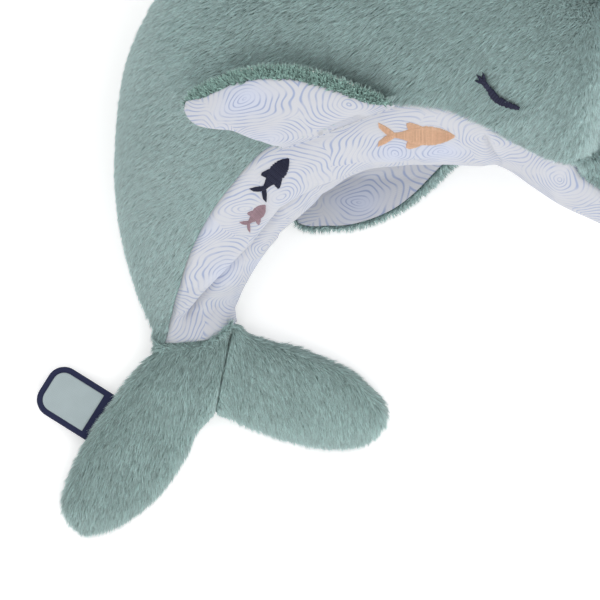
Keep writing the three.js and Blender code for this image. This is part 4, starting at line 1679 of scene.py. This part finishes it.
@dataclass
class Flipper:
    """A flipper of printed jersey and plush, the plush turned over the leading edge."""

    finishes: Finishes
    side: Side
    lay: Lay
    root: tuple
    turn: float
    outward: float
    rise: float = 2.6
    sag: float = 3.4
    plush: float = 2.2
    rim: float = 7.6
    rim_start: tuple = (-0.02, 0.12)
    rim_fade: tuple = (0.72, 0.98)
    rim_loss: float = 0.85
    rim_depth: float = 3.6
    rim_turn: tuple = (1.72, 1.95)
    print_depth: float = 0.5
    print_cloth: float = 0.8
    edge_dip: float = 0.9
    edge_widths: tuple = (0.035, 0.03)
    far_edge: float = 0.6
    face_depth: float = 0.75
    face_cloth: float = 0.5
    face_weight: float = 0.12
    face_pile: float = 0.35
    rows: int = 90
    columns: int = 48
    tufts: int = 3200
    coat: Coat = Coat(length=3.5, width=1.4, lean=46.0, stray=0.7)
    pile: Material | None = None
    stuffing: Stuffing = Stuffing(rows=61, columns=48, cap=1.2)
    slack: float = 0.4
    tuck: float = 0.0
    reach: float = 0.0
    wall: float = 0.0
    wall_tufts: int = 700
    underside: Coat = Coat(length=3.6, width=0.75, lean=24.0, stray=0.3)
    underside_tufts: int = 5600
    underside_root: tuple = (0.05, 0.3)
    bare_root: float = 0.06
    wad_gap: float = 0.3
    wad_ends: tuple = (0.12, 0.88)
    wall_ends: tuple = (0.05, 0.99)
    wall_corner: float = 2.6
    wall_corner_start: float = 0.84
    front_wall: tuple = (-0.6, 0.1)
    back_wall: tuple = (1.6, 0.9)
    plush_start: float = 0.015
    outline: tuple = (
        (63, 0, 0, 0, 0.3), (57, 7.5, -4, 3, 0.75), (46, 18, -9, 7, 1), (31, 30, -14.6, 12, 1),
        (14, 39, -19.1, 15.9, 1), (-4, 43.5, -24.5, 18.4, 0.95), (-16, 43.3, -29.4, 21, 0.9),
        (-24, 43, -32.6, 23.2, 0.8), (-29.4, 41.2, -35.2, 26.8, 0.65), (-33, 38, -36.2, 32.2, 0.4),
    )

    def build(self) -> None:
        """Stuffs the flipper and makes the two faces, the pile round the edge and the wadding."""
        self.name = f"{self.side.value}_flipper"
        outline = self.placed()
        self.form = LeafForm(outline, self.lay, self.rise, self.sag)
        self.root_line = np.array((outline[0][0:2], outline[0][2:4]))[:: int(self.outward)]
        self.hinge = Hinge("torso", self.name, *map(tuple, self.root_line), self.reach)
        self.swell = self.stuffing.press(
            f"{self.name}_balloon", lambda t, angle: self.form.point(t, angle, self.plush), edge_sewn
        )
        self.print_face()
        self.plush_face()
        self.wadding()
        if self.wall:
            self.root_walls()

    def placed(self) -> tuple:
        """The outline turned to its place in the layout.

        Returns:
            The rows.
        """
        rows = np.array(self.outline, float)
        rows[0, [1, 3]] -= self.tuck
        c, s = bearing(self.turn)
        turned = np.array([[c, s], [-s, c]])
        flip = np.array([1, self.outward])
        a, b = (rows[:, i : i + 2] * flip @ turned + self.root for i in (0, 2))
        return tuple(map(tuple, np.column_stack([a, b, rows[:, 4]])))

    def seam(self, t: Array) -> Array:
        """The angle of the seam near the leading edge: where the rim is as wide as its cosine gives."""
        rim = self.rim * smooth(t, *self.rim_start) * (1 - self.rim_loss * smooth(t, *self.rim_fade))
        return np.arccos(np.clip(1 - rim / np.maximum(self.form.half_span(t), 1e-6), -1, 1))

    def print_face(self) -> None:
        """The printed face, from the rim to the trailing edge."""
        t = np.linspace(0, 1, self.rows)
        share = np.linspace(0, 1, self.columns)
        start = self.seam(t)
        angle = start[:, None] + (np.pi - start)[:, None] * share
        t = np.broadcast_to(t[:, None], angle.shape)
        near, far = self.edge_widths
        edge = np.exp(-((share / near) ** 2)) + self.far_edge * np.exp(-(((1 - share) / far) ** 2))
        depth = self.print_depth + self.edge_dip * edge + self.slack - self.swell(t, angle)
        outer, inner = self.form.point(t, angle, depth), self.form.point(t, angle, depth + self.print_cloth)
        cloth = make_sheet(f"{self.name}_print", outer, inner, self.finishes.print)
        self.attach(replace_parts(cloth, f"{self.name}_print_face"), "print")

    def plush_face(self) -> None:
        """The plush face under the flipper and over its leading edge, with its pile."""
        t = np.linspace(self.plush_start, 1, self.rows)
        share = np.linspace(0, 1, self.columns)
        stop = self.seam(t) + 2 * np.pi
        angle = np.pi + (stop - np.pi)[:, None] * share
        t = np.broadcast_to(t[:, None], angle.shape)
        rim = smooth(angle, *(np.pi * turn for turn in self.rim_turn))
        face = self.plush * self.face_depth
        depth = face + (self.rim_depth - face) * rim
        outer, inner = self.form.point(t, angle, depth), self.form.point(t, angle, depth + self.face_cloth)
        # painted shade: the plush face takes the darkened backing, and its rim the darkened pile
        cloth = make_sheet(f"{self.name}_plush", outer, inner, self.finishes.rim_backing_painted_shade)
        self.attach(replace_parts(cloth, f"{self.name}_plush_face"), "plush")
        past_root = smooth(t, 0.0, self.bare_root)
        pile, seed = self.pile or self.finishes.rim_pile_painted_shade, 31 + len(self.side.value)
        thick = (self.face_weight + (1 - self.face_weight) * rim) * past_root
        long = self.face_pile + (1 - self.face_pile) * rim
        name, count = f"{self.name}_pile", self.tufts
        grown = self.coat.grow(name, pile, outer, inner, count, self.comb, seed, thick, long)
        self.attach(grown, "plush")
        thick = (1 - rim) * (1 + 2 * (1 - smooth(t, *self.underside_root))) * past_root
        name, count = f"{self.name}_underside", self.underside_tufts
        under = self.underside.grow(name, self.finishes.pile, outer, inner, count, self.sweep, 41, thick)
        self.attach(under, "plush")

    def comb(self, points: Array) -> Array:
        """Away from the flipper's middle line, toward its tip.

        Args:
            points: Places, (n, 3).

        Returns:
            Ways, (n, 3).
        """
        middle = np.array(self.placed(), float)
        centre = (middle[:, 0:2] + middle[:, 2:4]) / 2
        near = np.linalg.norm(points[:, None, :2] - centre, axis=-1).argmin(1)
        out = unit(points[:, :2] - centre[near])
        tip = unit(centre[-1] - centre[0])
        return np.column_stack([unit(out + 0.5 * tip), np.zeros(len(points))])

    def sweep(self, points: Array) -> Array:
        """From the root's middle to the tip."""
        rows = np.array(self.placed(), float)
        way = rows[-1, 0:2] - (rows[0, 0:2] + rows[0, 2:4]) / 2
        return np.broadcast_to([*unit(way), 0.0], points.shape)

    def wadding(self) -> None:
        """The thin filling between the faces."""
        core = LeafForm(self.placed(), self.lay, self.rise, self.sag, least=0.2)
        rings = core.rings(96, 33, self.plush + self.wad_gap, *self.wad_ends)
        wad = make_loft(f"{self.name}_fibre", rings, self.finishes.fibre)
        self.attach(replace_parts(wad, f"{self.name}_wadding"), "fibre")

    def root_walls(self) -> None:
        """The seam that the flipper turns on: walls of print before it and plush behind, up from the body."""
        share, deep = np.meshgrid(np.linspace(*self.wall_ends, 48), np.linspace(0, 1, 8), indexing="ij")
        top = self.wall_corner * smooth(np.abs(2 * share - 1), self.wall_corner_start, 1.0)
        drop = top + (self.wall - top) * deep
        first, last = self.root_line
        outward = unit(last - first) @ np.array([[0.0, -1.0], [1.0, 0.0]])
        line = first + (last - first) * share[..., None]

        def upright(off: float) -> Array:
            """A wall's points at an offset from the root."""
            base, normal = self.lay((line + outward * off).reshape(-1, 2))
            return (base - normal * drop.reshape(-1, 1)).reshape(*drop.shape, 3)

        front = make_sheet(f"{self.name}_front_seam", *map(upright, self.front_wall), self.finishes.print)
        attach(front, "torso")
        outer, inner = map(upright, self.back_wall)
        back = make_sheet(f"{self.name}_back_seam", outer, inner, self.finishes.backing)
        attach(back, "torso")
        name, thick, count = f"{self.name}_seam_pile", smooth(deep, 0.0, 0.5), self.wall_tufts
        grown = self.underside.grow(name, self.finishes.pile, outer, inner, count, self.comb, 43, thick)
        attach(grown, "torso")

    def attach(self, piece: Piece, slot: str) -> None:
        """Bakes a piece's placement where the flipper has a reach, or hangs it on the flipper's body."""
        if self.reach:
            self.hinge.bend(piece, slot)
        else:
            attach(piece, self.name)


@dataclass
class PlushLeaf:
    """A stuffed leaf with plush on both faces: the dorsal fin or a lobe of the fluke."""

    finishes: Finishes
    name: str
    form: LeafForm
    comb: Comb
    faces: tuple
    tufts: int
    coat: Coat
    hinge: Hinge
    backing_depth: float = 3.0
    cloth_depth: float = 3.9
    rows: int = 110
    columns: int = 48
    wad_gap: float = 0.5
    wad_start: float = 0.12
    wad_stop: float = 0.86
    crease: Callable[[Array, Array], Array] | None = None
    crease_depth: float = 0.3
    crease_trim: float = 0.45
    stuffing: Stuffing = Stuffing(rows=61, columns=48, cap=1.6)
    spare: float = 0.0

    def depth(self, t: Array, angle: Array, depth: float) -> Array:
        """A depth under the stuffed cloth, which lessens where the leaf meets its neighbour at a crease.

        Args:
            t: Places along the leaf.
            angle: Places round it, in radians.
            depth: The depth in millimetres.

        Returns:
            The depths.
        """
        stuffed = depth - self.swell(t, angle)
        if self.crease is None:
            return stuffed
        share = self.crease(t, angle)
        return stuffed * (1 - share) + (depth - self.backing_depth + self.crease_depth) * share

    def build(self) -> None:
        """Stuffs the leaf and makes both faces, their pile and the filling."""
        self.swell = self.stuffing.press(
            f"{self.name}_balloon", lambda t, angle: self.form.point(t, angle, self.cloth_depth), edge_sewn
        )
        for i, face in enumerate(self.faces):
            turn = np.pi * i + np.linspace(0, np.pi, self.columns)
            t, angle = np.meshgrid(np.linspace(0, 1, self.rows), turn, indexing="ij")
            outer = self.form.point(t, angle, self.depth(t, angle, self.backing_depth))
            inner = self.form.point(t, angle, self.depth(t, angle, self.cloth_depth))
            cloth = make_sheet(f"{self.name}_{face}_plush", outer, inner, self.finishes.backing)
            self.hinge.bend(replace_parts(cloth, f"{self.name}_{face}_face"), "plush")
            seed = 51 + i + len(self.name)
            count = int(self.tufts * (1 - self.spare * i))
            trim = None if self.crease is None else 1 - self.crease_trim * self.crease(t, angle)
            name, pile = f"{self.name}_{face}_pile", self.finishes.long_pile
            grown = self.coat.grow(name, pile, outer, inner, count, self.comb, seed, scale=trim)
            self.hinge.bend(grown, "plush")
        rings = self.form.rings(28, 41, self.cloth_depth + self.wad_gap, self.wad_start, self.wad_stop)
        wad = make_loft(f"{self.name}_fibre", rings, self.finishes.fibre)
        self.hinge.bend(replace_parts(wad, f"{self.name}_filling"), "fibre")


@dataclass
class Label:
    """A woven label sewn into the edge of a lobe: a navy tab with a paler patch."""

    finishes: Finishes
    length: float = 32.0
    width: float = 27.0
    corner: float = 9.0
    border: float = 3.0
    tab: float = 1.0
    patch: float = 0.4
    gap: float = 0.3
    root: tuple = (-101.6, -58.6)
    turn: float = 148.0
    height: float = 7.0
    tuck: float = 5.0
    bed: float = 0.1
    softness: float = 0.35
    insets: tuple = (9.0, 4.0, 1.2)

    def build(self) -> None:
        """Makes the tab and the patch."""
        low, high = self.height - self.tab / 2, self.height + self.tab / 2 - self.bed
        tape = self.plate("label_tape", self.finishes.label_navy, 0.0, self.tuck, low, self.tab)
        self.sew(tape, "label_tab", "label_navy")
        thick = self.patch + self.gap
        face = self.plate("label_face", self.finishes.label_sage, self.border, 0.0, high, thick)
        self.sew(face, "label_patch", "label_sage")

    def border_line(self, inset: float, tuck: float) -> Array:
        """A tab's outline drawn in by an inset: straight sides, two round corners and a tuck at the root.

        Args:
            inset: The inset.
            tuck: How far the root runs into the seam.

        Returns:
            Points, (n, 2).
        """
        half, corner, end = self.width / 2 - inset, max(self.corner - inset, 0.2), self.length - inset
        turn = np.linspace(0, np.pi / 2, 13)
        x, y = end - corner + corner * np.sin(turn), -half + corner - corner * np.cos(turn)
        low = np.stack([x, y], axis=-1)
        high = low[::-1] * [1, -1]
        side = np.linspace(0, 1, 12)[:-1, None]
        root = inset - tuck
        first = np.array([root, -half]) * (1 - side) + low[0] * side
        last = high[-1] * (1 - side) + np.array([root, half]) * side
        return np.concatenate([first, low, high, last[1:], [[root, half]]])

    def plate(
        self, name: str, material: Material, inset: float, tuck: float, low: float, thick: float
    ) -> Piece:
        """A flat plate with softened edges, as rings drawn in from its outline.

        Args:
            name: The piece's name.
            material: Its tape.
            inset: How far its outline lies inside the tab's.
            tuck: How far its root runs into the seam.
            low: The height of its lower face.
            thick: Its thickness.

        Returns:
            The piece.
        """
        soft = self.softness * thick
        under = [(i, 0.0) for i in (*self.insets, soft)]
        over = [(i, thick) for i in (soft, *self.insets[::-1])]
        steps = [*under, (0.0, soft), (0.0, thick - soft), *over]
        lines = [(self.border_line(inset + i, tuck), z) for i, z in steps]
        rings = np.stack([np.column_stack([line, np.full(len(line), z)]) for line, z in lines])
        rings = np.concatenate([rings, rings[:, :1]], axis=1)
        c, s = bearing(self.turn)
        x, y = rings[..., 0] * c - rings[..., 1] * s, rings[..., 0] * s + rings[..., 1] * c
        placed = np.stack([x + self.root[0], y + self.root[1], rings[..., 2] + low], axis=-1)
        return make_loft(name, placed, material)

    def sew(self, piece: Piece, node: str, slot: str) -> None:
        """Maps a plate along its weave, hides the CAD node that it replaces and bakes its placement.

        Args:
            piece: The plate.
            node: The CAD node that it stands for.
            slot: Not used.
        """
        c, s = bearing(self.turn)
        spot = np.zeros(len(piece.data.vertices) * 3, np.float32)
        piece.data.vertices.foreach_get("co", spot)
        order = np.zeros(len(piece.data.loops), np.int32)
        piece.data.loops.foreach_get("vertex_index", order)
        flat = spot.reshape(-1, 3)[:, :2] @ np.array([[c, -s], [s, c]])
        layer = piece.data.uv_layers.new(name="cloth")
        layer.data.foreach_set("uv", flat[order].astype(np.float32).ravel())
        across = self.width / 2 * np.array([-s, c])
        ends = tuple(self.root - across), tuple(self.root + across)
        seam = Hinge("right_fluke", "label", *ends, self.border)
        seam.bend(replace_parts(piece, node), slot)


@dataclass
class Studio:
    """A white table, soft light all round and from above, and a camera looking straight down."""

    frame_width: float = 0.3
    focus_height: float = 0.04
    camera_height: float = 5.0
    sensor: float = 36.0
    floor_side: float = 80.0
    floor_tone: float = 0.88
    shadow_tone: float = 0.8
    floor_glow: float = 0.4
    dome_low: float = 1.15
    dome_high: float = 0.48
    lamps: tuple = (
        ("key", (-1.35, 0.6, 1.4), 1.6, 10.0),
        ("fill", (0.4, -1.25, 1.3), 1.4, 9.0),
        ("side", (0.95, 0.9, 1.65), 1.4, 9.0),
        ("front", (0.3, -1.6, 0.5), 1.2, 5.5),
    )

    def build(self) -> None:
        """Makes the floor, the lights and the camera."""
        self.floor()
        self.world()
        for lamp in self.lamps:
            self.lamp(*lamp)
        self.camera()

    def floor(self) -> None:
        """A floor that looks white to the camera and keeps the shadows."""
        side = self.floor_side / MM / 2
        material = bpy.data.materials.new("white_table")
        material.use_nodes = True
        material.node_tree.nodes.clear()
        g = Graph(material.node_tree)
        tones = self.floor_tone, self.shadow_tone
        plain, shadowed = (g.add("ShaderNodeBsdfDiffuse", {"Color": (tone,) * 3}) for tone in tones)
        glow = g.add("ShaderNodeEmission", {"Color": (1.0, 1.0, 1.0), "Strength": self.floor_glow})
        white = g.add("ShaderNodeAddShader", {0: shadowed.outputs[0], 1: glow.outputs[0]})
        g.add("ShaderNodeOutputMaterial", {"Surface": self.seen(g, plain, white)})
        corners = np.array([[-1, -1, 0], [1, -1, 0], [1, 1, 0], [-1, 1, 0]], float) * side + MIDDLE
        make_piece("floor", corners, np.array([[0, 1, 2, 3]]), material)

    def world(self) -> None:
        """Soft light from all round, strongest near the table, and white where the camera sees it."""
        world = bpy.data.worlds.new("studio")
        bpy.context.scene.world = world
        world.use_nodes = True
        world.node_tree.nodes.clear()
        g = Graph(world.node_tree)
        way = g.add("ShaderNodeSeparateXYZ", {0: g.add("ShaderNodeTexCoord").outputs["Generated"]})
        strength = g.ramp(way.outputs[2], 0.0, 1.0, (self.dome_low, self.dome_high))
        light = g.add("ShaderNodeBackground", {"Color": (1.0, 1.0, 1.0), "Strength": strength})
        white = g.add("ShaderNodeBackground", {"Color": (1.0, 1.0, 1.0), "Strength": 1.0})
        g.add("ShaderNodeOutputWorld", {"Surface": self.seen(g, light, white)})

    @staticmethod
    def seen(g: Graph, unseen: Node, shown: Node) -> Socket:
        """One shader where the camera looks, straight or by gloss or glass, and another for all else."""
        path = g.add("ShaderNodeLightPath").outputs
        looks = g.math("MAXIMUM", path["Is Camera Ray"], path["Is Glossy Ray"])
        looks = g.math("MAXIMUM", looks, path["Is Transmission Ray"])
        return g.add("ShaderNodeMixShader", {0: looks, 1: unseen.outputs[0], 2: shown.outputs[0]}).outputs[0]

    def lamp(self, name: str, place: tuple, size: float, power: float) -> None:
        """A large soft lamp aimed at the toy.

        Args:
            name: Its name.
            place: Where it hangs, in metres.
            size: The side of its face.
            power: Its power in watts.
        """
        light = bpy.data.lights.new(name, "AREA")
        light.energy, light.size = power, size
        lamp = bpy.data.objects.new(name, light)
        lamp.location = place
        lamp.rotation_euler = (-Vector(place)).to_track_quat("-Z", "Y").to_euler()
        bpy.context.scene.collection.objects.link(lamp)

    def camera(self) -> None:
        """A long lens over the middle of the layout, upright with the back to the top."""
        lens = bpy.data.cameras.new("camera")
        lens.sensor_width = self.sensor
        lens.lens = self.sensor * (self.camera_height - self.focus_height) / self.frame_width
        lens.clip_end = 100.0
        camera = bpy.data.objects.new("camera", lens)
        camera.location = (*(-MIDDLE[:2] * MM), self.camera_height)
        bpy.context.scene.collection.objects.link(camera)
        bpy.context.scene.camera = camera


@dataclass
class TailFringe:
    """Tousled pile along the tail's hem, where the body's cloth and the fluke are sewn together."""

    finishes: Finishes
    tufts: int = 1500
    height: float = 10.5
    crown: float = 1.5
    droop: float = 1.2
    width: float = 3.0
    coat: Coat = Coat(length=4.6, width=0.7, lean=38.0, stray=0.7)
    line: tuple = ((-72, -23.5), (-67, -25), (-60, -25.5), (-50, -24), (-42, -19.5), (-34.5, -12.5))
    comb: Comb = Comb(((-75, -22, 235), (-60, -26, 255), (-45, -22, 285), (-35, -12, 330)))

    def build(self) -> None:
        """Plants a strip of tufts on the root of the fluke."""
        t, across = np.meshgrid(np.linspace(0, 1, 40), np.linspace(-1, 1, 4), indexing="ij")
        spot = Spline(self.line)(t)
        ends = np.sin(np.pi * np.clip(t, 0.02, 0.98))
        height = self.height + self.crown * ends - self.droop * across**2
        strip = np.stack([spot[..., 0], spot[..., 1] - across * self.width / 2, height], axis=-1)
        pile, inner = self.finishes.long_pile, strip - [0, 0, 1]
        grown = self.coat.grow("tail_fringe", pile, strip, inner, self.tufts, self.comb, 77)
        TAIL_SEAM.bend(grown, "plush")


def right_lay(form: BodyForm, height: float) -> Lay:
    """Lays a leaf on the body's upper side, its seam at a height over the pile.

    Args:
        form: The body.
        height: The height.

    Returns:
        What gives points and normals.
    """

    def lay(spots: Array) -> tuple[Array, Array]:
        """Points and normals over spots of the table plane."""
        t, angle = form.place(spots)
        return form.point(t, angle, -height)

    return lay


def left_lay(root: tuple, turn: float, sag: float, height: float = 14.6, droop: float = 24.0) -> Lay:
    """Lays a leaf that falls from a height at its root to the table, along a parabola.

    Args:
        root: The root's place.
        turn: The leaf's turn in degrees.
        sag: How high its seam lies at the table.
        height: How high its root lies.
        droop: How far out it reaches the table.

    Returns:
        What gives points and normals.
    """
    across = np.array([np.sin(np.radians(turn)), -np.cos(np.radians(turn))])

    def lay(spots: Array) -> tuple[Array, Array]:
        """Points and normals over spots of the table plane."""
        out = (spots - root) @ across
        rise = np.maximum(0, 1 - out / droop)
        level = sag + (height - sag) * rise**2
        slope = -2 * (height - sag) * rise / droop
        normal = unit(np.column_stack([-slope[:, None] * across, np.ones(len(spots))]))
        return np.column_stack([spots, level]), normal

    return lay


def right_crease(t: Array, angle: Array) -> Array:
    """Where the right lobe meets the tail seam and the left lobe: its root, and edge b near it."""
    root = 1 - smooth(t, 0.0, 0.1)
    edge = smooth(-np.cos(angle), 0.55, 0.95) * (1 - smooth(t, 0.34, 0.46))
    return np.maximum(root, edge)


def left_crease(t: Array, angle: Array) -> Array:
    """Where the left lobe meets the right one: its root."""
    return 1 - smooth(t, 0.0, 0.14)


def build_flippers(finishes: Finishes, form: BodyForm) -> None:
    """Makes the right flipper, which lies on the body, and the left one, which falls from it to the table.

    Args:
        finishes: The materials.
        form: The body.
    """
    over_body = right_lay(form, height=3.9)
    Flipper(finishes, Side.RIGHT, over_body, root=(-10, 76), turn=21, outward=1, wall=6.4).build()
    root, turn = (27, 80), 4
    trimmed = Coat(length=4.4, width=0.85, lean=20.0, stray=0.45)
    to_table = left_lay(root, turn, sag=3.4)
    Flipper(
        finishes, Side.LEFT, to_table, root, turn, outward=-1, rim=3.4, rim_fade=(0.2, 0.42), rim_depth=1.6,
        tufts=5000, coat=trimmed, pile=finishes.long_pile, tuck=5.0, reach=14.0,
    ).build()


def build_leaves(finishes: Finishes, form: BodyForm) -> None:
    """Makes the two lobes of the fluke, and the dorsal fin at the height of the body's middle.

    Args:
        finishes: The materials.
        form: The body.
    """
    # the lobes' and fin's pile carries a painted sheen where the cloth faces the way of the comb
    shaggy = Coat(length=6.8, width=0.54, lean=19.0, stray=0.14, wind=0.14, painted_sheen=0.24)
    lobes = (
        ("right_fluke", RIGHT_FLUKE, RIGHT_LOBE_COMB, right_crease, TAIL_SEAM),
        ("left_fluke", LEFT_FLUKE, LEFT_LOBE_COMB, left_crease, LOBE_SEAM),
    )
    for name, outline, comb, crease, seam in lobes:
        lobe = LeafForm(outline, flat_at(LOBE_SAG), rise=11.0, sag=LOBE_SAG, blunt=0.8)
        faces = ("upper", "lower")
        PlushLeaf(finishes, name, lobe, comb, faces, 24000, shaggy, seam, crease=crease, spare=0.4).build()
    height = float(form.section(np.array(FIN_STATION)).lift)
    fin = LeafForm(FIN, flat_at(height), rise=9.0, sag=9.0, tip_round=0.2)
    faces = ("right", "left")
    PlushLeaf(finishes, "dorsal_fin", fin, FIN_COMB, faces, 6000, shaggy, FIN_SEAM, wad_start=0.36).build()


def main() -> None:
    """Builds the studio and the toy's sub-assemblies in order."""
    logging.basicConfig(level=logging.INFO, format="%(name)s %(message)s")
    bpy.context.scene.view_settings.view_transform = "Standard"
    finishes = Finishes()
    Studio().build()
    torso = Torso(finishes)
    torso.build()
    Embroidery(finishes, torso).build()
    build_flippers(finishes, torso.form)
    build_leaves(finishes, torso.form)
    TailFringe(finishes).build()
    Label(finishes).build()


if __name__ == "__main__":
    main()
